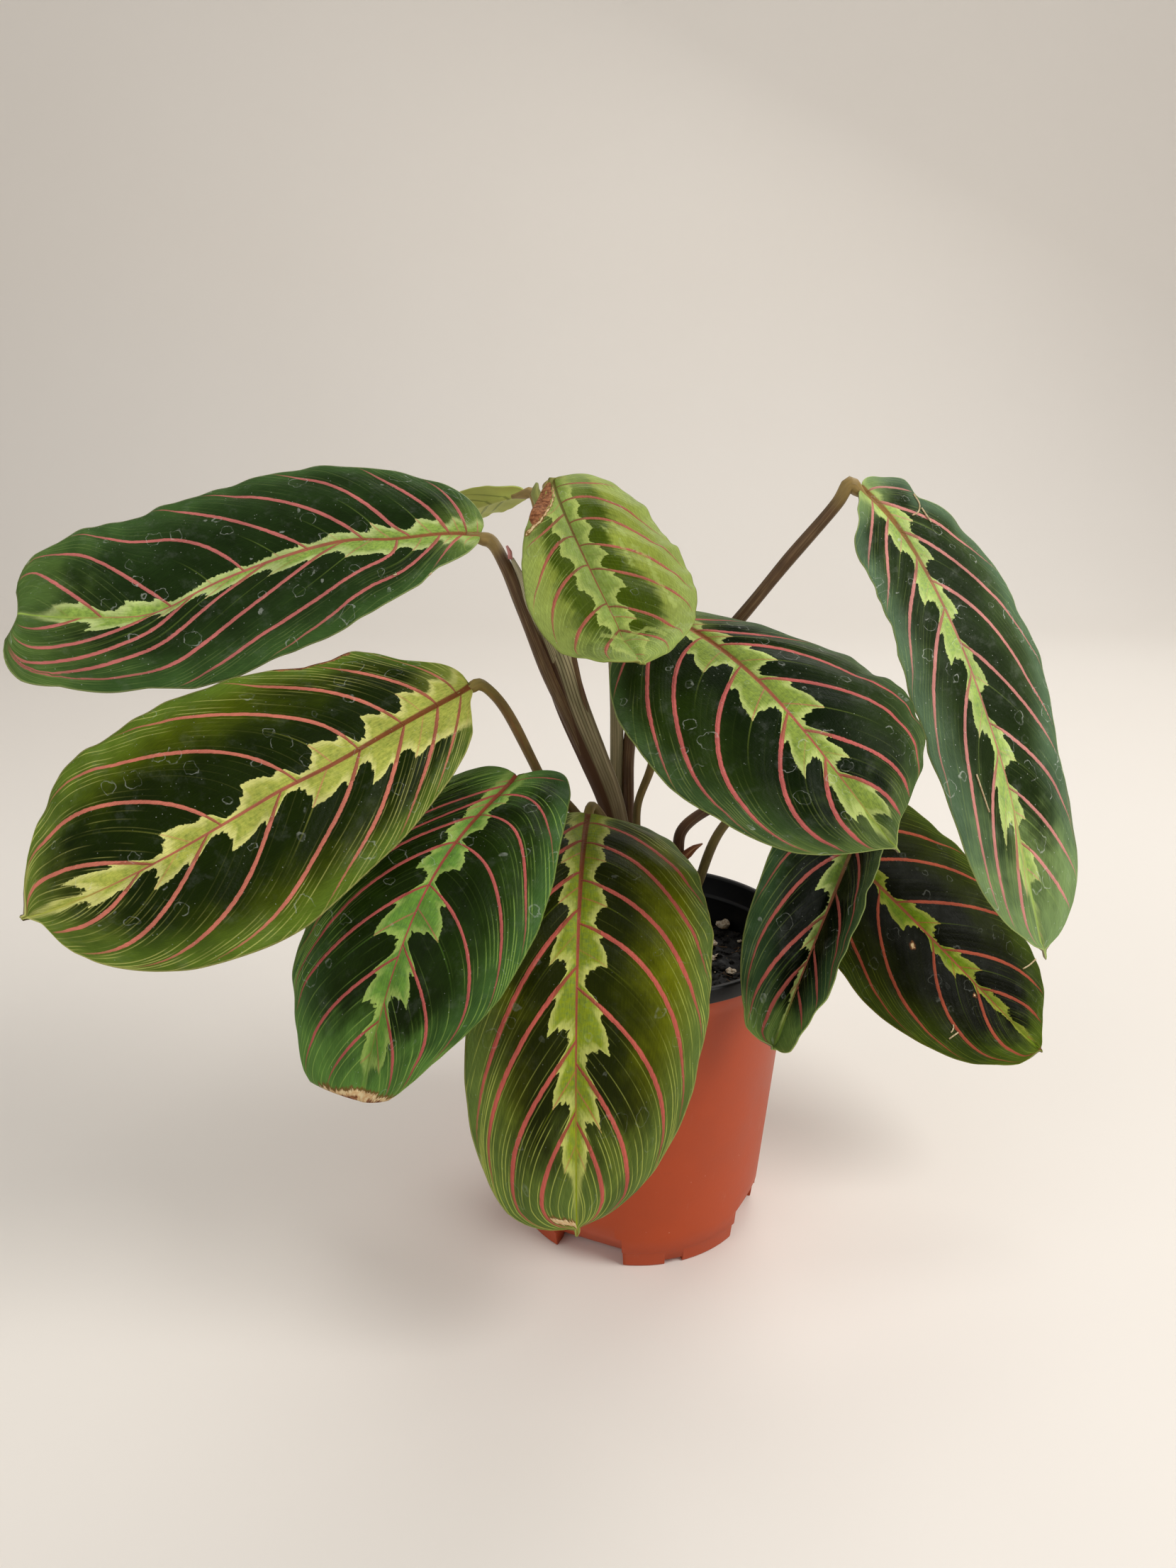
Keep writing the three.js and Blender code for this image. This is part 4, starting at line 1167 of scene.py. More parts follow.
def blade_faces(shape):
    """Vertex and value numbers of the faces of the upper and the lower sheet."""
    rows, columns = shape
    middle = HALF_COLUMNS
    upper = np.arange(rows * columns).reshape(shape)
    inner = np.zeros(shape, bool)
    inner[1:-1, 1:-1] = True
    lower = upper.copy()
    lower[inner] = rows * columns + np.arange(inner.sum())
    i, k = np.meshgrid(np.arange(rows - 1), np.arange(columns - 1), indexing="ij")
    right = k >= middle
    corners = ((i, k), (i, k + 1), (i + 1, k + 1), (i + 1, k))
    value = []
    for row, column in corners:
        offset = np.where(right, rows * (middle + 1) + column - middle, middle - column)
        value.append(row * (middle + 1) + offset)
    value = np.stack(value, axis=-1).reshape(-1, 4)
    top = np.stack([upper[c] for c in corners], axis=-1).reshape(-1, 4)
    bottom = np.stack([lower[c] for c in corners], axis=-1).reshape(-1, 4)
    faces = np.concatenate([top, bottom[:, ::-1]])
    values = np.concatenate([value, value[:, ::-1]])
    return faces, values, inner


def blade(name, seed, upper_material, lower_material):
    """A thin blade with relief on both faces, and the numbers of its pattern at each corner."""
    leaf = LEAVES[name]
    u, v, wander, points = blade_grid(leaf)
    middle = HALF_COLUMNS
    halves = {
        "left": [part[:, middle::-1] for part in (points, u, v)],
        "right": [part[:, middle:] for part in (points, u, v)],
    }
    patterns = {key: side_pattern(leaf, key, *halves[key], wander, seed) for key in SIDES}
    slim = min(1, (leaf["left"]["width"] + leaf["right"]["width"]) / FULL_RELIEF_WIDTH)
    relief = slim * blade_relief(u, v, patterns, seed)
    points = points + surface_normals(points) * relief[..., None]
    normals = surface_normals(points)
    midrib = across_blade(patterns, "reach", 2)
    thick = EDGE_THICKNESS + MIDRIB_THICKNESS * np.exp(-midrib / THICKNESS_REACH)
    ridge = slim * np.exp(-((midrib / RIDGE_WIDTH) ** 2)) * (1 - 0.8 * u)
    faces, values, inner = blade_faces(u.shape)
    top = np.where(inner[..., None], points + normals * thick[..., None], points)
    bottom = (points - normals * (thick + ridge)[..., None])[inner]
    mesh = new_mesh("leaf_" + name, np.concatenate([top.reshape(-1, 3), bottom]), faces)
    for label in patterns["left"]:
        columns = [
            np.concatenate([patterns[key][label][place].ravel() for key in SIDES]) for place in range(3)
        ]
        write_vectors(mesh, label, "CORNER", np.stack(columns, axis=-1)[values.ravel()])
    sheet = len(faces) // 2
    mesh.polygons.foreach_set("material_index", [0] * sheet + [1] * sheet)
    finished(name + "_blade", mesh, "leaf_" + name, [upper_material, lower_material])
    return [straw_body(top, u, v, line) for line in leaf.get("straws", ())]


def straw_body(surface, u, v, line):
    """A bit of straw that lies on a blade, along a line of (u, v)."""
    route = []
    for row_share, column_share in line:
        row = np.abs(u[:, 0] - row_share).argmin()
        column = np.abs(v[row] - column_share).argmin()
        route.append(surface[row, column])
    lift = unit(np.cross(route[-1] - route[0], (1, 0, 0))) * STRAW_RADIUS
    route = [place + (lift if lift[1] < 0 else -lift) for place in route]
    path, _ = smooth_path(route, spacing=0.7)
    return loft(path, [circle(8) * STRAW_RADIUS] * len(path))


def make_leaves():
    vein_lines = vein_lines_group()
    herring_bone = herring_bone_group(vein_lines, dust_group())
    grey_back = underside_material("grey", colour(122, 134, 96), colour(150, 92, 82), vein_lines)
    yellow_back = underside_material("yellow", colour(142, 152, 70), colour(128, 92, 48), vein_lines)
    pale_back = underside_material("pale", colour(206, 212, 104), colour(120, 132, 52), vein_lines, 0.4)
    backs = {"rolled": pale_back, "young": yellow_back, "front": yellow_back}
    straw = grain_material("straw", colour(214, 198, 160), colour(178, 152, 112), 900)
    for seed, name in enumerate(LEAVES):
        straws = blade(name, seed, leaf_material(name, herring_bone), backs.get(name, grey_back))
        if straws:
            piece_name = name + "_straws"
            finished(piece_name, new_mesh(piece_name, *gathered(straws)), "leaf_" + name, [straw])


# Stalks: (the leaf, root in the soil or None, radius, points on the way)
STALKS = {
    "shoot_left": [
        ("upper_left", (4, -3), 1.9, [
            (-3, -2, 115), (-11.3, 0, 141.5), (-16.8, 0, 154.7), (-23.3, -1, 170.4), (-28.6, -2.5, 183),
            (-35, -4.5, 201), (-39.6, -7, 214),
        ]),
        ("rolled", None, 1.4, [
            (-16, 0, 164), (-20, 1, 182), (-24, 5, 200), (-28, 10, 215), (-31, 13, 228),
        ]),
    ],
    "shoot_back": [
        ("young", (-7, 9), 1.7, [
            (-7, 10, 136), (-7, 12, 167), (-10, 16, 200), (-15, 15, 221), (-22, 7, 231.5),
        ]),
        ("far_right", (-2.8, 10), 1.9, [
            (-3.1, 9.5, 136), (-3.1, 10.5, 154), (-1.2, 11, 164), (11.5, 10, 175), (28.5, 5, 195.5),
            (43, 3, 214.5), (56, 1, 231),
        ]),
    ],
    "stalk_centre_right": [
        ("centre_right", (4, 3), 1.3, [(1, 4, 115), (-0.5, 4, 137), (4, 4, 152), (7, 0, 185)]),
    ],
    "stalk_low_right": [
        ("low_right", (12, 6), 1.8, [
            (12, 8, 112), (13, 8, 120), (14, 8, 128), (23, 12, 134), (37, 14, 138),
        ]),
    ],
    "stalk_folded": [
        ("folded", (11, -4), 1.5, [(18, -4, 113), (26, -4, 134), (45, 0, 148), (64, 5, 145)]),
    ],
    "stalk_middle_left": [
        ("middle_left", (-10, -6), 1.5, [(-14, -8, 110), (-32, -19, 159), (-41, -29, 180)]),
    ],
    "stalk_lower_left": [
        ("lower_left", (-4, -10), 1.5, [
            (-7, -9, 110), (-17, -10, 136), (-25, -17, 148), (-31, -27, 154),
        ]),
    ],
    "stalk_front": [("front", (3, -12), 1.5, [(-2, -12, 115), (-11, -12, 138), (-15, -15, 144)])],
}
ROOT_HEIGHTS = (72, 84, 90)
STALK_SIDES = 20

# Where a stalk meets its blade: how far behind the base it bends, how far beyond the base and
# how deep under the midrib it ends, its swelling there, and how thin its hidden end gets
COLLAR = 3
END_REACH = 4
END_DEPTH = 1.1
SWELLING = 0.2
SWELLING_LENGTH = 7
END_SHARE = 0.4
END_LENGTH = 6

# How much thicker a stalk is at its foot and how far up that reaches, its lengthwise ribs,
# and how uneven its thickness is
FOOT_GROWTH = 0.12
FOOT_LENGTH = 45
STALK_RIBS = 5
STALK_RIB = 0.018
UNEVENNESS = 0.03

# How far the end of a stalk lies under its blade, in mm, where the blade hides it
HIDDEN_ENDS = {"lower_left": 3.4, "front": 2.8, "young": 5}
SHOWN_END = 1.2

# Sheaths that wrap the two shoots: spine, and half widths at even steps along it
SHEATHS = {
    "shoot_left": [
        (
            [
                (3, -3, 95), (-3, -1.5, 115), (-9.4, -1, 141.5), (-14.6, 0, 154.7), (-20.9, 0.5, 170.4),
                (-25, 1, 183), (-27.8, 1.5, 190),
            ],
            (2, 3.0, 3.9, 4.6, 5.1),
        ),
        (
            [(-25, 2, 180), (-29.5, -1.5, 193), (-33.9, -5, 205), (-35.6, -6.2, 210.7), (-37.6, -8, 216)],
            (2.4, 2.4, 2.2, 1.6, 0.5),
        ),
    ],
    "shoot_back": [
        ([(-7, 9, 96), (-7.1, 9.6, 136), (-7.2, 11.4, 166), (-8.6, 14, 190)], (1.95, 1.95, 2.0, 1.5)),
    ],
}
SHEATH_SIDES = 48
SHEATH_DEPTH = 2.6

# Where the free margin of a sheath lies and how far it stands out, and the nerves round it
SHEATH_FOLD = 0.35
MARGIN_LIFT = 0.13
NERVES = 9
NERVE = 0.012

# Small dry scales on the stalks, made as short sheaths: node, spine and half widths
SCALES = {
    "low_right_dry_scale": (
        "stalk_low_right",
        [(13, 7, 118.5), (15.5, 6.5, 120.5), (18, 6, 123), (20.5, 5.6, 124.5)],
        (1.0, 1.5, 1.0, 0.2),
    ),
    "left_shoot_tongue": (
        "shoot_left",
        [(-38.1, -9, 216.2), (-38.2, -9.3, 218.1), (-39, -9.2, 219.8)],
        (0.65, 0.6, 0.3),
    ),
    "rolled_leaf_nub": (
        "shoot_left",
        [(-30.5, 11, 230), (-31.5, 10, 233.5), (-31, 9.6, 236)],
        (1.4, 1.5, 0.4),
    ),
}

# Skins: colours low down, high up, at the knee and of the stripes, and how strong they are
STALK_LOOKS = {
    "red_stalk": ((80, 50, 32), (88, 64, 40), (150, 126, 72), (146, 126, 90), 0.35),
    "green_stalk": ((92, 84, 44), (124, 104, 54), (138, 122, 60), (140, 82, 60), 0.4),
    "low_right_dry_scale": ((176, 112, 74), (176, 112, 74), (120, 66, 44), (206, 160, 116), 0.7),
    "left_shoot_tongue": ((176, 96, 104), (204, 128, 134), (196, 128, 124), (224, 190, 172), 0.5),
    "rolled_leaf_nub": ((140, 142, 80), (146, 148, 84), (140, 144, 80), (110, 118, 62), 0.5),
}


def between(t, low, high, first, last):
    """The place on a straight run from first, at low, to last, at high."""
    return (high - t) / (high - low) * first + (t - low) / (high - low) * last


def smooth_path(points, spacing):
    """Evenly spaced points on a centripetal curve through the given ones."""
    points = np.array(points, float)
    points = np.concatenate([[2 * points[0] - points[1]], points, [2 * points[-1] - points[-2]]])
    found = []
    for p0, p1, p2, p3 in zip(points, points[1:], points[2:], points[3:]):
        steps = [max(np.linalg.norm(b - a), 1e-6) ** 0.5 for a, b in ((p0, p1), (p1, p2), (p2, p3))]
        k0, k1, k2, k3 = np.cumsum([0, *steps])
        t = np.linspace(k1, k2, 24, endpoint=False)[:, None]
        a1 = between(t, k0, k1, p0, p1)
        a2 = between(t, k1, k2, p1, p2)
        a3 = between(t, k2, k3, p2, p3)
        b1 = between(t, k0, k2, a1, a2)
        b2 = between(t, k1, k3, a2, a3)
        found.append(between(t, k1, k2, b1, b2))
    found = np.concatenate(found + [points[-2:-1]])
    run = np.concatenate([[0], np.cumsum(np.linalg.norm(np.diff(found, axis=0), axis=1))])
    even = np.linspace(0, run[-1], max(int(run[-1] / spacing), 3))
    return np.stack([np.interp(even, run, found[:, axis]) for axis in range(3)], axis=1), even


def loft(path, outlines):
    """Points and faces, all looking out, of a body whose sections stand square to the path."""
    ways = unit(np.gradient(path, axis=0))
    side = unit(np.cross(ways[0], (0, -1, 0)))
    points = []
    for place, way, outline in zip(path, ways, outlines):
        side = unit(side - way * (side @ way))
        front = np.cross(side, way)
        points.append(place + outline[:, :1] * side + outline[:, 1:] * front)
    sides = len(outlines[0])
    last = (len(path) - 1) * sides
    faces = [tuple(range(sides)), tuple(range(last, last + sides))[::-1]]
    for near in range(0, last, sides):
        far = near + sides
        for j in range(sides):
            k = (j + 1) % sides
            faces.append((near + j, far + j, far + k, near + k))
    return np.concatenate(points), faces


def with_numbers(body, run, sides, free=0):
    """A lofted body with the numbers that its skin reads at each point: (cosine, sine, run)
    and (way to the end, height, place on the way to the free margin)."""
    points, faces = body
    rings = len(run)
    marks = np.column_stack([np.tile(circle(sides), (rings, 1)), np.repeat(run, sides)])
    to_end = np.repeat(run[-1] - run, sides)
    ends = np.column_stack([to_end, points[:, 2], np.tile(np.zeros(sides) + free, rings)])
    return points, faces, marks, ends


def stalk_body(leaf_name, root, radius, route, draw):
    """One petiole from the soil to the underside of its blade."""
    leaf = LEAVES[leaf_name]
    base, along = midrib_line(leaf, np.array(0.0))
    up = np.cross(unit(np.cross(along, leaf["facing"][0])), along)
    foot = [(*root, height) for height in ROOT_HEIGHTS] if root else []
    drop = HIDDEN_ENDS.get(leaf_name, SHOWN_END)
    ends = [
        base - COLLAR * along - drop * up,
        base - 0.4 * along - drop * up,
        base + END_REACH * along - END_DEPTH * up,
    ]
    path, run = smooth_path([*foot, *route, *ends], spacing=1.0)
    to_leaf = run[-1] - run
    swelling = SWELLING * ease(to_leaf, SWELLING_LENGTH + 3, SWELLING_LENGTH)
    radii = (radius + swelling) * (END_SHARE + (1 - END_SHARE) * ease(to_leaf, 0, END_LENGTH))
    if root:
        radii = radii * (1 + FOOT_GROWTH * ease(run, FOOT_LENGTH, 0))
    turns = np.arange(STALK_SIDES) * 2 * np.pi / STALK_SIDES
    ribs = 1 + STALK_RIB * np.cos(STALK_RIBS * turns + draw.random() * 6)
    outlines = []
    for place, ring in zip(run, radii):
        swell = 1 + UNEVENNESS * math.sin(place * 0.23 + leaf["wave"][2] * 9)
        outlines.append(circle(STALK_SIDES) * (ring * swell * ribs)[:, None])
    return with_numbers(loft(path, outlines), run, STALK_SIDES)


def sheath_body(spine, widths):
    """A sheath rolled round its stalk, with the free margin lying over the rest."""
    path, run = smooth_path(spine, spacing=1.2)
    shares = np.linspace(0, len(widths) - 1, len(path))
    half_widths = np.interp(shares, range(len(widths)), widths)
    turns = np.arange(SHEATH_SIDES) * 2 * np.pi / SHEATH_SIDES
    past = ((turns - SHEATH_FOLD) % (2 * np.pi)) / (2 * np.pi)
    scale = 1 + MARGIN_LIFT * past**3 + NERVE * np.cos(NERVES * turns)
    outlines = []
    for width in half_widths:
        depth = min(SHEATH_DEPTH, 0.75 * width + 0.4)
        outlines.append(circle(SHEATH_SIDES) * (width, depth) * scale[:, None])
    return with_numbers(loft(path, outlines), run, SHEATH_SIDES, past)


def gathered(bodies):
    """Several bodies as one list of points, faces, and each row of numbers."""
    offset = 0
    faces = []
    for body in bodies:
        faces.extend([index + offset for index in face] for face in body[1])
        offset += len(body[0])
    return np.concatenate([body[0] for body in bodies]), faces, *(
        np.concatenate([body[n] for body in bodies]) for n in range(2, len(bodies[0]))
    )


def stalk_skin_group():
    """Stalk skin: fine stripes along it, uneven colour and a paler knee under the leaf."""
    names = {"Lower": COLOUR, "Upper": COLOUR, "Knee": COLOUR, "Stripe": COLOUR, "Stripes": FLOAT}
    tree, given, result = new_group("stalk_skin", names, {"Color": COLOUR, "Height": FLOAT})
    round_x, round_y, run = tree.parts("stalk")
    to_leaf, height, _ = tree.parts("ends")
    stripes = tree.vector(tree.times(round_x, 5), tree.times(round_y, 5), tree.times(run, 0.03))
    stripes = tree.noise(stripes, 1.3, 3, 0.6)
    patches = tree.noise(tree.vector(round_x, round_y, tree.times(run, 0.16)), 1.2, 4)
    upper = tree.smooth(tree.plus(height, tree.times(patches, 30)), 120, 190)
    skin = tree.mix(upper, given["Lower"], given["Upper"])
    skin = tree.mix(tree.smooth(to_leaf, 9, 17, 0.9, 0), skin, given["Knee"])
    skin = tree.mix(tree.times(tree.smooth(stripes, 0.5, 0.62), given["Stripes"]), skin, given["Stripe"])
    skin = tree.shaded(skin, tree.smooth(patches, 0.25, 0.75, 0.8, 1.2))
    tree.feed(result["Color"], skin)
    tree.feed(result["Height"], tree.plus(stripes, tree.times(patches, 0.5)))
    return tree.tree


def stalk_material(name, skin):
    material, tree, shader = new_material(name + "_skin")
    lower, upper, knee, stripe, stripes = STALK_LOOKS[name]
    made = tree.place(skin, Lower=lower, Upper=upper, Knee=knee, Stripe=stripe, Stripes=stripes)
    tree.feed(shader.inputs["Base Color"], made["Color"])
    shader.inputs["Roughness"].default_value = 0.42
    shader.inputs["Specular IOR Level"].default_value = 0.25
    bump(tree, shader, made["Height"], 0.00025, 0.7)
    return material


def sheath_material(name, brown_low, brown_high, shaded_side):
    """Grey-green sheath with dark parallel nerves, brown at its foot, painted shade in brown on the side
    towards its stalk, and a pale top that is partly painted light.

    The brown foot ends between two heights in mm, and shaded_side is the strength of the painted shade on
    that side.
    """
    material, tree, shader = new_material(name)
    round_x, round_y, run = tree.parts("stalk")
    _, height, free = tree.parts("ends")
    nerve = tree.smooth(tree.math("PINGPONG", tree.times(round_x, 5.2), 0.5), 0.04, 0.26, 1, 0)
    place = tree.vector(tree.times(round_x, 3), tree.times(round_y, 3), tree.times(run, 0.08))
    patches = tree.noise(place, 1.0, 4)
    skin = tree.mix(tree.smooth(patches, 0.3, 0.7), colour(172, 160, 124), colour(132, 126, 92))
    skin = tree.mix(tree.smooth(height, brown_low, brown_high, 0.8, 0), skin, colour(92, 68, 46))
    # Paler top: partly the sheath's own pale colour, partly painted light where the top of the shoot is lit
    skin = tree.mix(tree.smooth(height, 190, 204, 0, 0.9), skin, colour(212, 204, 170))
    crisp = tree.smooth(height, brown_low, brown_high, 0.3, 0.8)
    skin = tree.mix(tree.times(nerve, crisp), skin, colour(66, 50, 34))
    # Painted shade: the side towards the stalk darkened to brown, below the top
    side = tree.smooth(tree.plus(round_x, tree.times(patches, 0.3)), 0, 0.22, shaded_side, 0)
    side = tree.times(side, tree.smooth(height, 190, 200, 1, 0))
    skin = tree.mix(side, skin, colour(80, 54, 35))
    dry_margin = tree.times(tree.smooth(free, 0.93, 0.96), tree.smooth(height, 168, 176))
    dry_margin = tree.times(dry_margin, tree.smooth(height, 190, 196, 1, 0))
    tree.feed(shader.inputs["Base Color"], tree.mix(dry_margin, skin, colour(92, 36, 34)))
    shader.inputs["Roughness"].default_value = 0.5
    shader.inputs["Specular IOR Level"].default_value = 0.2
    bump(tree, shader, patches, 0.0003, 0.7)
    return material


def finished_stalks(name, node, bodies, material):
    """One piece made of stalks, sheaths or a scale, with the numbers that its skin reads."""
    points, faces, marks, ends = gathered(bodies)
    mesh = new_mesh(name, points, faces)
    write_vectors(mesh, "stalk", "POINT", marks)
    write_vectors(mesh, "ends", "POINT", ends)
    finished(name, mesh, node, [material])


def make_stalks():
    skin = stalk_skin_group()
    skins = {name: stalk_material(name, skin) for name in STALK_LOOKS}
    sheath_skins = {
        "shoot_left": sheath_material("left_sheath", 118, 185, 1),
        "shoot_back": sheath_material("back_sheath", 105, 138, 0),
    }
    draw = random.Random(11)
    for node, stalks in STALKS.items():
        bodies = [stalk_body(*stalk, draw) for stalk in stalks]
        finished_stalks(node + "_petioles", node, bodies, skins[SLOTS[node]])
    for node, sheaths in SHEATHS.items():
        bodies = [sheath_body(spine, widths) for spine, widths in sheaths]
        finished_stalks(node + "_sheaths", node, bodies, sheath_skins[node])
    for name, (node, spine, widths) in SCALES.items():
        finished_stalks(name, node, [sheath_body(spine, widths)], skins[name])


# Pot
def outer_radius(z):
    return BASE_RADIUS + (RIM_RADIUS - RIM_STEP - BASE_RADIUS) * z / POT_HEIGHT


def inner_radius(z):
    if z >= CORNER_HEIGHT:
        return outer_radius(z) - WALL
    share = max(z - FLOOR_TOP, 0) / (CORNER_HEIGHT - FLOOR_TOP)
    return CORNER_RADIUS + (outer_radius(CORNER_HEIGHT) - WALL - CORNER_RADIUS) * share


def pot_profile():
    """Half section of the pot, (radius, height), from the middle of its underside to its floor."""
    band = POT_HEIGHT - BAND_HEIGHT
    lip = RIM_RADIUS - LIP
    foot = BASE_RADIUS - FOOT_STEP
    foot_top = outer_radius(FOOT_HEIGHT) - FOOT_STEP
    ledge = POT_HEIGHT - LEDGE_DEPTH
    underside = [
        (0, 0), (PAD_RADIUS, 0), (PAD_RADIUS + 1, PAD_LIFT), (FOOT_INNER - 1, PAD_LIFT), (FOOT_INNER, 0),
        (foot - 0.7, 0), (foot - 0.2, 0.2), (foot, 0.7), (foot_top, FOOT_HEIGHT - 0.15),
        (foot_top + 0.15, FOOT_HEIGHT + 0.1),
    ]
    outside = [(outer_radius(z), z) for z in np.linspace(FOOT_HEIGHT + 0.6, band, 18)]
    rim = [
        (RIM_RADIUS - 0.1, band + 0.12), (RIM_RADIUS, band + 0.4), (RIM_RADIUS, POT_HEIGHT - 0.8),
        (RIM_RADIUS - 0.15, POT_HEIGHT - 0.35), (RIM_RADIUS - 0.5, POT_HEIGHT - 0.07),
        (RIM_RADIUS - 0.9, POT_HEIGHT), (lip + 0.9, POT_HEIGHT), (lip + 0.45, POT_HEIGHT - 0.1),
        (lip + 0.1, POT_HEIGHT - 0.4), (lip, POT_HEIGHT - 0.9), (lip, ledge + 1.0),
        (lip - 0.15, ledge + 0.6), (lip - LEDGE, ledge), (inner_radius(ledge) - 0.1, ledge - 0.3),
    ]
    inside = [(inner_radius(z), z) for z in np.linspace(ledge - 1, CORNER_HEIGHT, 14)]
    floor = [(CORNER_RADIUS + 1.6, FLOOR_TOP + 2), (CORNER_RADIUS, FLOOR_TOP), (0, FLOOR_TOP)]
    return [*underside, *outside, *rim, *inside, *floor]


def turned_faces(rings, sides):
    """Faces of a turned body: a point on the axis, its rings and another point on the axis."""
    last = 1 + rings * sides
    end = last - sides
    faces = []
    for j in range(sides):
        k = (j + 1) % sides
        faces.append((0, 1 + k, 1 + j))
        for low in range(1, end, sides):
            high = low + sides
            faces.append((low + j, low + k, high + k, high + j))
        faces.append((end + j, end + k, last))
    return faces


def lathe(profile, sides):
    """Points and faces of a turned body whose profile starts and ends on the axis."""
    turns = np.arange(sides) * 2 * np.pi / sides
    points = [(0, 0, profile[0][1])]
    for radius, z in profile[1:-1]:
        points.extend((radius * math.cos(a), radius * math.sin(a), z) for a in turns)
    points.append((0, 0, profile[-1][1]))
    return points, turned_faces(len(profile) - 2, sides)


def bridged(first, second):
    """A closed body between two outlines with the same number of corners."""
    count = len(first)
    faces = [tuple(range(count)), tuple(range(count, 2 * count))[::-1]]
    faces += [(j, count + j, count + (j + 1) % count, (j + 1) % count) for j in range(count)]
    return np.array([*first, *second], float), faces


def foot_cutter(outline, angle, width):
    """A cutter: an outline of (radius, height) as wide as given, turned round the pot's axis."""
    a = math.radians(angle)
    way, side = np.array([math.cos(a), math.sin(a), 0]), np.array([-math.sin(a), math.cos(a), 0])
    section = np.array([radius * way + (0, 0, z) for radius, z in outline])
    return bridged(section - side * width / 2, section + side * width / 2)


def drain_cutter(angle):
    """A round cutter through the pot's floor."""
    a = math.radians(angle)
    x, y = DRAIN_PLACE * math.cos(a), DRAIN_PLACE * math.sin(a)
    ring = circle(DRAIN_SIDES) * DRAIN_RADIUS + (x, y)
    high, low = (np.column_stack([ring, np.full(DRAIN_SIDES, z)]) for z in (FLOOR_TOP + 2, CUT_BOTTOM))
    return bridged(high, low)


def cut_mesh(mesh, cutters):
    """The mesh with all cutters taken away from it."""
    body = bpy.data.objects.new("uncut", mesh)
    knife = bpy.data.objects.new("knife", new_mesh("knife", *gathered(cutters)))
    for piece in (body, knife):
        bpy.context.collection.objects.link(piece)
    modifier = body.modifiers.new("cut", "BOOLEAN")
    modifier.operation = "DIFFERENCE"
    modifier.solver = "EXACT"
    modifier.object = knife
    result = bpy.data.meshes.new_from_object(body.evaluated_get(bpy.context.evaluated_depsgraph_get()))
    for piece in (body, knife):
        bpy.data.objects.remove(piece)
    return result


def moulded_group():
    """Moulded plastic: a slightly uneven skin, fine specks, scuffs and soil stains."""
    names = {"Base": COLOUR, "Worn": COLOUR, "Soiled": COLOUR, "Specks": FLOAT, "Scuffs": FLOAT}
    outputs = {"Color": COLOUR, "Roughness": FLOAT, "Height": FLOAT}
    tree, given, result = new_group("moulded_plastic", names, outputs)
    place = tree.object_place()
    clouds = tree.noise(place, 22, 4, 0.6)
    skin = tree.shaded(given["Base"], tree.smooth(clouds, 0.3, 0.7, 0.93, 1.07))
    specks = tree.smooth(tree.cells(place, 420)["Distance"], 0.04, 0.12, 1, 0)
    rare = tree.smooth(tree.noise(place, 60, 2), 0.6, 0.68)
    skin = tree.mix(tree.times(specks, rare, given["Specks"]), skin, given["Worn"])
    stretched = tree.node("ShaderNodeMapping")
    stretched.inputs["Scale"].default_value = (1, 1, 0.25)
    tree.feed(stretched.inputs["Vector"], place)
    scratches = tree.smooth(tree.noise(stretched.outputs[0], 260, 5, 0.7), 0.6, 0.72)
    scuffs = tree.times(scratches, tree.smooth(clouds, 0.46, 0.66), given["Scuffs"])
    skin = tree.mix(scuffs, skin, given["Worn"])
    smudges = tree.smooth(tree.noise(place, 45, 6, 0.7), 0.6, 0.74, 0, 0.4)
    tree.feed(result["Color"], tree.mix(smudges, skin, given["Soiled"]))
    rough = tree.plus(tree.smooth(clouds, 0.3, 0.7, 0.4, 0.5), tree.times(scuffs, 0.2))
    tree.feed(result["Roughness"], rough)
    tree.feed(result["Height"], tree.plus(clouds, tree.times(tree.noise(place, 900, 2), 0.25)))
    return tree.tree


def plastic_material(name, moulded, **look):
    material, tree, shader = new_material(name)
    made = tree.place(moulded, **look)
    tree.feed(shader.inputs["Base Color"], made["Color"])
    tree.feed(shader.inputs["Roughness"], made["Roughness"])
    shader.inputs["Specular IOR Level"].default_value = 0.3
    bump(tree, shader, made["Height"], 0.0002, 0.6)
    return material


def make_pot():
    moulded = moulded_group()
    terracotta = plastic_material(
        "terracotta_plastic", moulded,
        Base=(170, 67, 27), Worn=(206, 150, 128), Soiled=(122, 58, 34), Specks=0.7, Scuffs=0.25,
    )
    black = plastic_material(
        "black_plastic", moulded,
        Base=(8, 9, 11), Worn=(80, 76, 70), Soiled=(30, 24, 19), Specks=0.5, Scuffs=0.3,
    )
    beyond = RIM_RADIUS + 1
    arch = [
        (CUT_INNER, CUT_BOTTOM), (beyond, CUT_BOTTOM), (beyond, ARCH_HEIGHT),
        (outer_radius(ARCH_HEIGHT), ARCH_HEIGHT), (outer_radius(ARCH_STEP) - ARCH_DEPTH, ARCH_STEP),
        (CUT_INNER, ARCH_STEP / 2),
    ]
    notch = [
        (CUT_INNER, CUT_BOTTOM), (beyond, CUT_BOTTOM), (beyond, NOTCH_HEIGHT), (CUT_INNER, NOTCH_HEIGHT),
    ]
    cutters = []
    for turn in (0, 90, 180, 270):
        cutters.append(foot_cutter(arch, ARCH_ANGLE + turn, ARCH_WIDTH))
        cutters.append(foot_cutter(notch, NOTCH_ANGLE + turn, NOTCH_WIDTH))
        cutters.append(drain_cutter(ARCH_ANGLE + turn))
    mesh = cut_mesh(new_mesh("pot", *lathe(pot_profile(), POT_SIDES)), cutters)
    mesh.materials.clear()
    for face in mesh.polygons:
        x, y, z = (part / MM for part in face.center)
        lining = z > FLOOR_TOP - 0.1 and math.hypot(x, y) < inner_radius(z) + WALL / 2
        face.material_index = 1 if lining or z > POT_HEIGHT - BAND_HEIGHT else 0
    finished("nursery_pot", mesh, "pot", [terracotta, black])


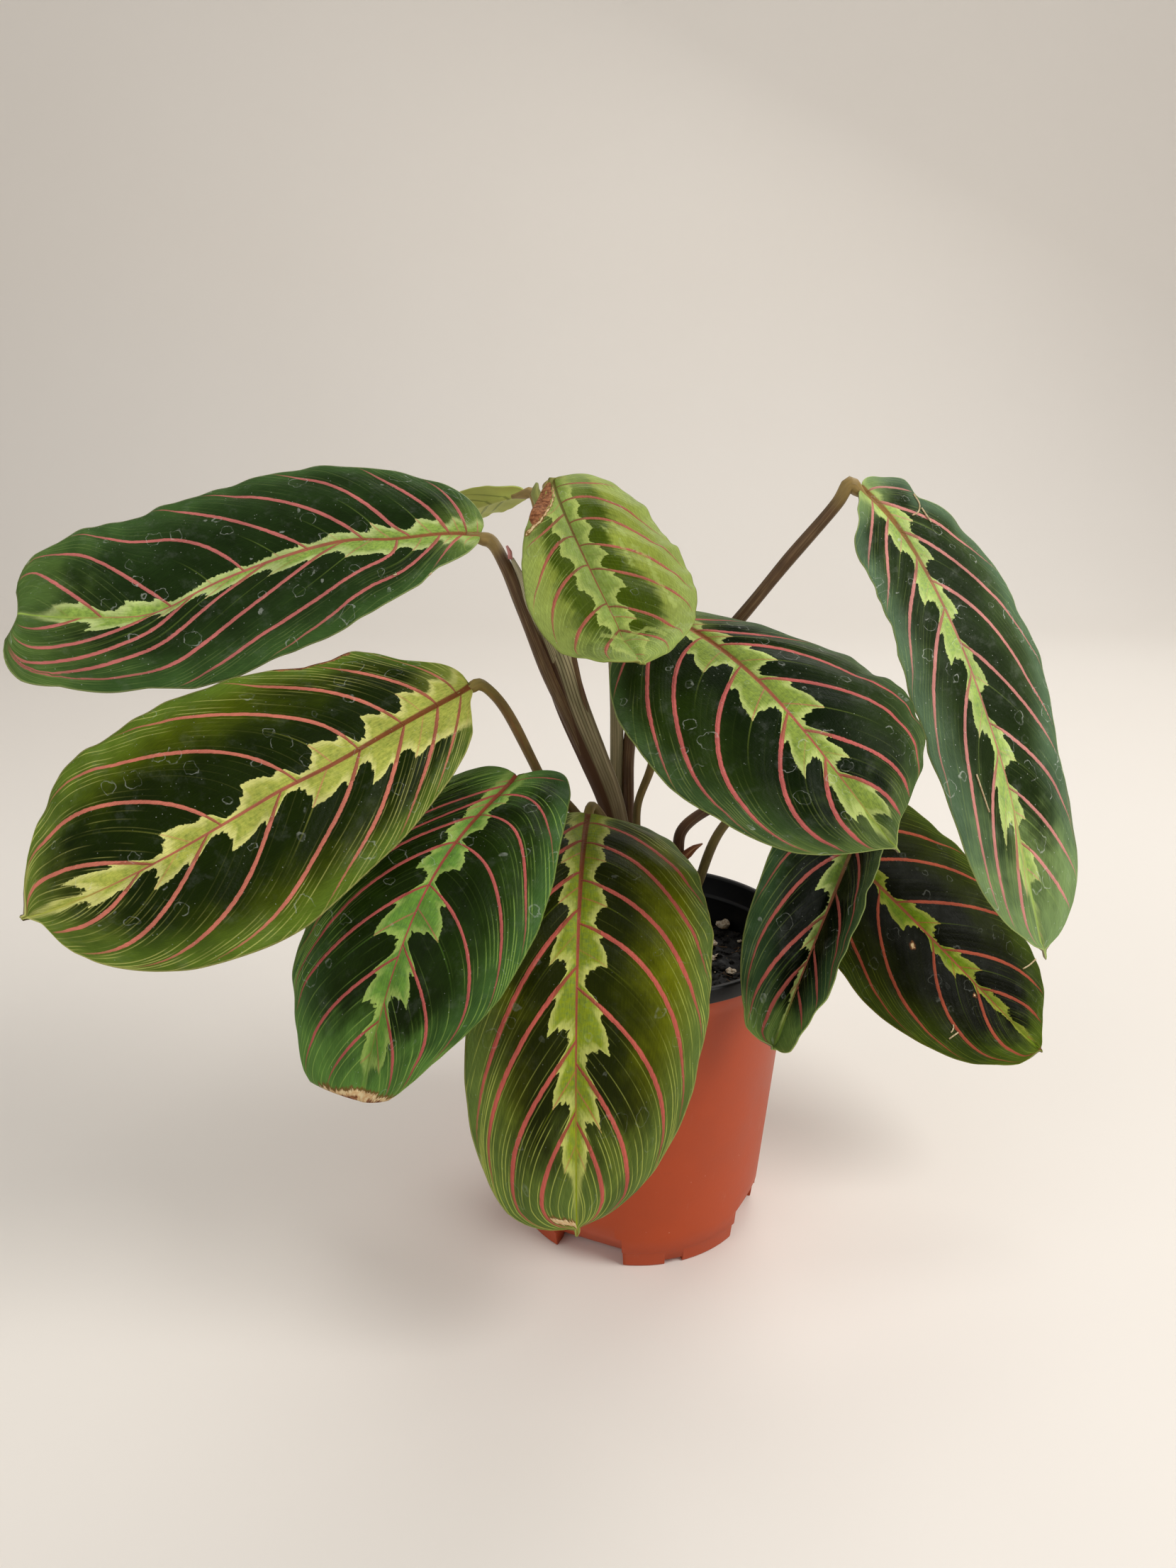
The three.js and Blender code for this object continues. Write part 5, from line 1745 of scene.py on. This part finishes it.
# Soil
def soil_height(x, y):
    """Height of the soil's lumpy surface."""
    mound = 2.2 * np.exp(-(x * x + y * y) / 22**2)
    lumps = np.sin(0.32 * x + 1) * np.cos(0.32 * y) + 0.6 * np.sin(0.55 * (x - y) + 2)
    return SOIL_LEVEL - 1 + mound + 0.8 * lumps


def lattice_noise(x, y, cell, seed):
    """Smooth random heights, one for each cell of a square lattice, which repeats."""
    table = np.random.default_rng(seed).uniform(-1, 1, (LATTICE, LATTICE))
    gx, gy = x / cell + LATTICE / 2, y / cell + LATTICE / 2
    i, j = np.floor(gx).astype(int), np.floor(gy).astype(int)
    fx, fy = ease(gx - i, 0, 1), ease(gy - j, 0, 1)
    i, next_i, j, next_j = (place % LATTICE for place in (i, i + 1, j, j + 1))
    low = table[i, j] * (1 - fx) + table[next_i, j] * fx
    high = table[i, next_j] * (1 - fx) + table[next_i, next_j] * fx
    return low * (1 - fy) + high * fy


def soil_surface(x, y):
    """Height of the lumps with three sizes of finer ones on them: (height, width, seed)."""
    lumps = ((0.7, 3.1, 1), (0.5, 1.4, 2), (0.25, 0.7, 3))
    fine = sum(size * lattice_noise(x, y, cell, seed) for size, cell, seed in lumps)
    return soil_height(x, y) + fine - 0.2


def soil_top(x, y):
    """Height of the soil at one place."""
    return float(soil_surface(np.array(float(x)), np.array(float(y))))


def lump(draw, size, squash=0.7):
    """One rough grain: a ball of 42 points, pushed in and out."""
    points = np.array(GRAIN_POINTS)
    rough = 1 + np.array([draw.uniform(-0.36, 0.36) for _ in points])
    stretch = np.array([draw.uniform(0.7, 1.3), draw.uniform(0.7, 1.3), squash * draw.uniform(0.8, 1.2)])
    turn = draw.random() * FULL_TURN
    cos, sin = math.cos(turn), math.sin(turn)
    spin = np.array([[cos, -sin, 0], [sin, cos, 0], [0, 0, 1]])
    return (points * rough[:, None] * stretch * size / 2) @ spin.T


def grain_ball():
    """Points and faces of a ball of 42 points, made from an icosahedron."""
    golden = (1 + 5**0.5) / 2
    points = [np.array(p, float) for p in (
        (-1, golden, 0), (1, golden, 0), (-1, -golden, 0), (1, -golden, 0),
        (0, -1, golden), (0, 1, golden), (0, -1, -golden), (0, 1, -golden),
        (golden, 0, -1), (golden, 0, 1), (-golden, 0, -1), (-golden, 0, 1),
    )]
    sides = [
        (0, 11, 5), (0, 5, 1), (0, 1, 7), (0, 7, 10), (0, 10, 11),
        (1, 5, 9), (5, 11, 4), (11, 10, 2), (10, 7, 6), (7, 1, 8),
        (3, 9, 4), (3, 4, 2), (3, 2, 6), (3, 6, 8), (3, 8, 9),
        (4, 9, 5), (2, 4, 11), (6, 2, 10), (8, 6, 7), (9, 8, 1),
    ]
    middles = {}
    faces = []

    def middle(a, b):
        key = (min(a, b), max(a, b))
        if key not in middles:
            middles[key] = len(points)
            points.append((points[a] + points[b]) / 2)
        return middles[key]

    for a, b, c in sides:
        ab, bc, ca = middle(a, b), middle(b, c), middle(c, a)
        faces += [(a, ab, ca), (ab, b, bc), (ca, bc, c), (ab, bc, ca)]
    return [p / np.linalg.norm(p) for p in points], faces


GRAIN_POINTS, GRAIN_FACES = grain_ball()


def scattered(draw, count, sizes, lift, reach):
    """Grains on the soil, with more small ones than large ones."""
    bodies = []
    for _ in range(count):
        radius = reach * math.sqrt(draw.random())
        turn = draw.random() * FULL_TURN
        x, y = radius * math.cos(turn), radius * math.sin(turn)
        size = sizes[0] + (sizes[1] - sizes[0]) * draw.random() ** 3
        z = soil_top(x, y) + lift * size
        bodies.append((lump(draw, size) + (x, y, z), GRAIN_FACES))
    return bodies


def fibre_body(draw, reach):
    """One bent fibre that lies on the soil."""
    radius, turn = reach * 0.92 * math.sqrt(draw.random()), draw.random() * FULL_TURN
    x, y, way = radius * math.cos(turn), radius * math.sin(turn), draw.random() * FULL_TURN
    length, bend = draw.uniform(2, 7), draw.uniform(-0.8, 0.8)
    route = []
    for share in (0, 0.35, 0.7, 1):
        px = x + length * share * math.cos(way + bend * share)
        py = y + length * share * math.sin(way + bend * share)
        fit = min(1.0, (reach - 1) / max(math.hypot(px, py), 0.1))
        px, py = px * fit, py * fit
        route.append((px, py, soil_top(px, py) + 0.35 + 0.3 * share))
    path, _ = smooth_path(route, spacing=0.8)
    return loft(path, [circle(4) * draw.uniform(0.08, 0.17)] * len(path))


# Larger perlite grains that the photograph shows beside the stalks: (x, y, size)
PERLITE_SEEN = [
    (31.5, 31, 5.5), (26, 16, 3.0), (25.5, 9, 2.6), (27, 8, 2.2), (30, -4, 3.0), (36, 22, 1.6),
    (22, 34, 2.4),
]


def soil_material():
    material, tree, shader = new_material("peat")
    place = tree.object_place()
    clods = tree.noise(place, 320, 6, 0.7)
    skin = tree.mix(tree.smooth(clods, 0.3, 0.7), colour(3, 3, 3), colour(15, 12, 10))
    bits = tree.smooth(tree.cells(place, 700)["Distance"], 0.1, 0.3, 1, 0)
    rare = tree.smooth(tree.noise(place, 240, 2), 0.58, 0.66)
    tree.feed(shader.inputs["Base Color"], tree.mix(tree.times(bits, rare), skin, colour(96, 78, 60)))
    tree.feed(shader.inputs["Roughness"], tree.smooth(clods, 0.3, 0.7, 0.6, 0.95))
    bump(tree, shader, clods, 0.0008, 0.9)
    return material


def grain_material(name, first, second, scale):
    material, tree, shader = new_material(name)
    place = tree.object_place()
    clouds = tree.noise(place, scale, 5, 0.65)
    tree.feed(shader.inputs["Base Color"], tree.mix(tree.smooth(clouds, 0.35, 0.65), first, second))
    shader.inputs["Roughness"].default_value = 0.9
    bump(tree, shader, clouds, 0.0003, 0.9)
    return material


def soil_body(reach):
    """The soil: a lumpy surface of fine rings, and a plain body that fills the pot under it."""
    points = [(0, 0, soil_top(0, 0))]
    for radius in reach * np.arange(1, SOIL_RINGS + 1) / SOIL_RINGS:
        x, y = (radius * circle(SOIL_SIDES)).T
        points.extend(np.stack([x, y, soil_surface(x, y)], axis=1).tolist())
    for z in SOIL_SIDE_HEIGHTS:
        points.extend((x, y, z) for x, y in circle(SOIL_SIDES) * (inner_radius(z) - SOIL_GAP))
    points.append((0, 0, SOIL_SIDE_HEIGHTS[-1]))
    faces = turned_faces(SOIL_RINGS + len(SOIL_SIDE_HEIGHTS), SOIL_SIDES)
    return points, [(face[0], *face[:0:-1]) for face in faces]


def make_soil():
    reach = inner_radius(SOIL_LEVEL - 4) - SOIL_GAP
    finished("peat_surface", new_mesh("peat", *soil_body(reach)), "soil", [soil_material()])

    draw = random.Random(5)
    crumbs = scattered(draw, CRUMBS, (0.5, 2.8), 0.1, reach - 1.5)
    crumb = grain_material("peat_crumb", colour(4, 3, 3), colour(20, 15, 12), 500)
    finished("peat_crumbs", new_mesh("crumbs", *gathered(crumbs)), "soil", [crumb], smooth=False)

    grains = scattered(draw, PERLITE_GRAINS, (0.5, 2.2), 0.25, reach - 2)
    for x, y, size in PERLITE_SEEN:
        z = soil_top(x, y) + 0.3 * size
        grains.append((lump(draw, size, 0.45) + (x, y, z), GRAIN_FACES))
    perlite = grain_material("perlite", colour(232, 222, 204), colour(184, 156, 126), 1400)
    finished("perlite_grains", new_mesh("perlite", *gathered(grains)), "soil", [perlite], smooth=False)

    fibres = [fibre_body(draw, reach) for _ in range(FIBRES)]
    fibre = grain_material("peat_fibre", colour(70, 50, 34), colour(128, 98, 66), 600)
    finished("peat_fibres", new_mesh("fibres", *gathered(fibres)), "soil", [fibre])


# Studio: a pale floor that curves up behind, soft light and the camera
def make_floor():
    material, tree, shader = new_material("studio_floor")
    place = tree.object_place()
    clouds = tree.noise(place, 2.5, 3)
    tree.feed(shader.inputs["Base Color"], tree.mix(clouds, colour(232, 226, 218), colour(236, 231, 224)))
    shader.inputs["Roughness"].default_value = 0.7
    section = [(-FLOOR_FRONT, 0), (FLOOR_BACK, 0)]
    for a in np.linspace(0, 1.57, 16)[1:]:
        section.append((FLOOR_BACK + FLOOR_BEND * math.sin(a), FLOOR_BEND * (1 - math.cos(a))))
    section.append((FLOOR_BACK + FLOOR_BEND + 2, BACKDROP_HEIGHT))
    points = [(x, y, z) for y, z in section for x in (-FLOOR_SIDE, FLOOR_SIDE)]
    faces = [(2 * i, 2 * i + 1, 2 * i + 3, 2 * i + 2) for i in range(len(section) - 1)]
    mesh = new_mesh("studio_floor", points, faces)
    mesh.materials.append(material)
    mesh.polygons.foreach_set("use_smooth", [True] * len(mesh.polygons))
    floor = bpy.data.objects.new("studio_floor", mesh)
    bpy.context.collection.objects.link(floor)


def area_light(name, place, target, size, power, tint):
    lamp = bpy.data.lights.new(name, "AREA")
    lamp.shape = "DISK"
    lamp.size = size
    lamp.energy = power
    lamp.color = tint
    light = bpy.data.objects.new(name, lamp)
    way = np.subtract(target, place)
    flat = math.hypot(way[0], way[1])
    light.rotation_euler = (math.atan2(flat, -way[2]), 0, math.atan2(way[1], way[0]) - math.pi / 2)
    light.location = place
    bpy.context.collection.objects.link(light)


def make_studio():
    make_floor()
    middle = (0, 0, 0.13)
    area_light("key", (0.95, -0.55, 1.15), middle, 0.9, 15, (1.0, 0.98, 0.95))
    area_light("fill", (-1.1, -0.9, 0.8), middle, 1.2, 5, (0.95, 0.98, 1.0))
    area_light("back", (0.5, 0.9, 1.2), middle, 1.0, 7, (1.0, 0.99, 0.97))
    world = bpy.data.worlds.new("studio")
    world.use_nodes = True
    sky = world.node_tree.nodes["Background"]
    sky.inputs["Color"].default_value = colour(232, 228, 224)
    sky.inputs["Strength"].default_value = 0.5
    bpy.context.scene.world = world
    bpy.context.scene.view_settings.view_transform = "Standard"


def make_camera():
    lens = bpy.data.cameras.new("camera")
    lens.sensor_width = SENSOR
    lens.lens = FOCAL_PIXELS / PHOTO_HEIGHT * SENSOR
    lens.clip_start = 0.01
    camera = bpy.data.objects.new("camera", lens)
    camera.location = [part * MM for part in CAMERA_PLACE]
    camera.rotation_euler = (math.radians(90 - CAMERA_PITCH), 0, 0)
    bpy.context.collection.objects.link(camera)
    bpy.context.scene.camera = camera


make_camera()
make_studio()
make_pot()
make_soil()
make_leaves()
make_stalks()
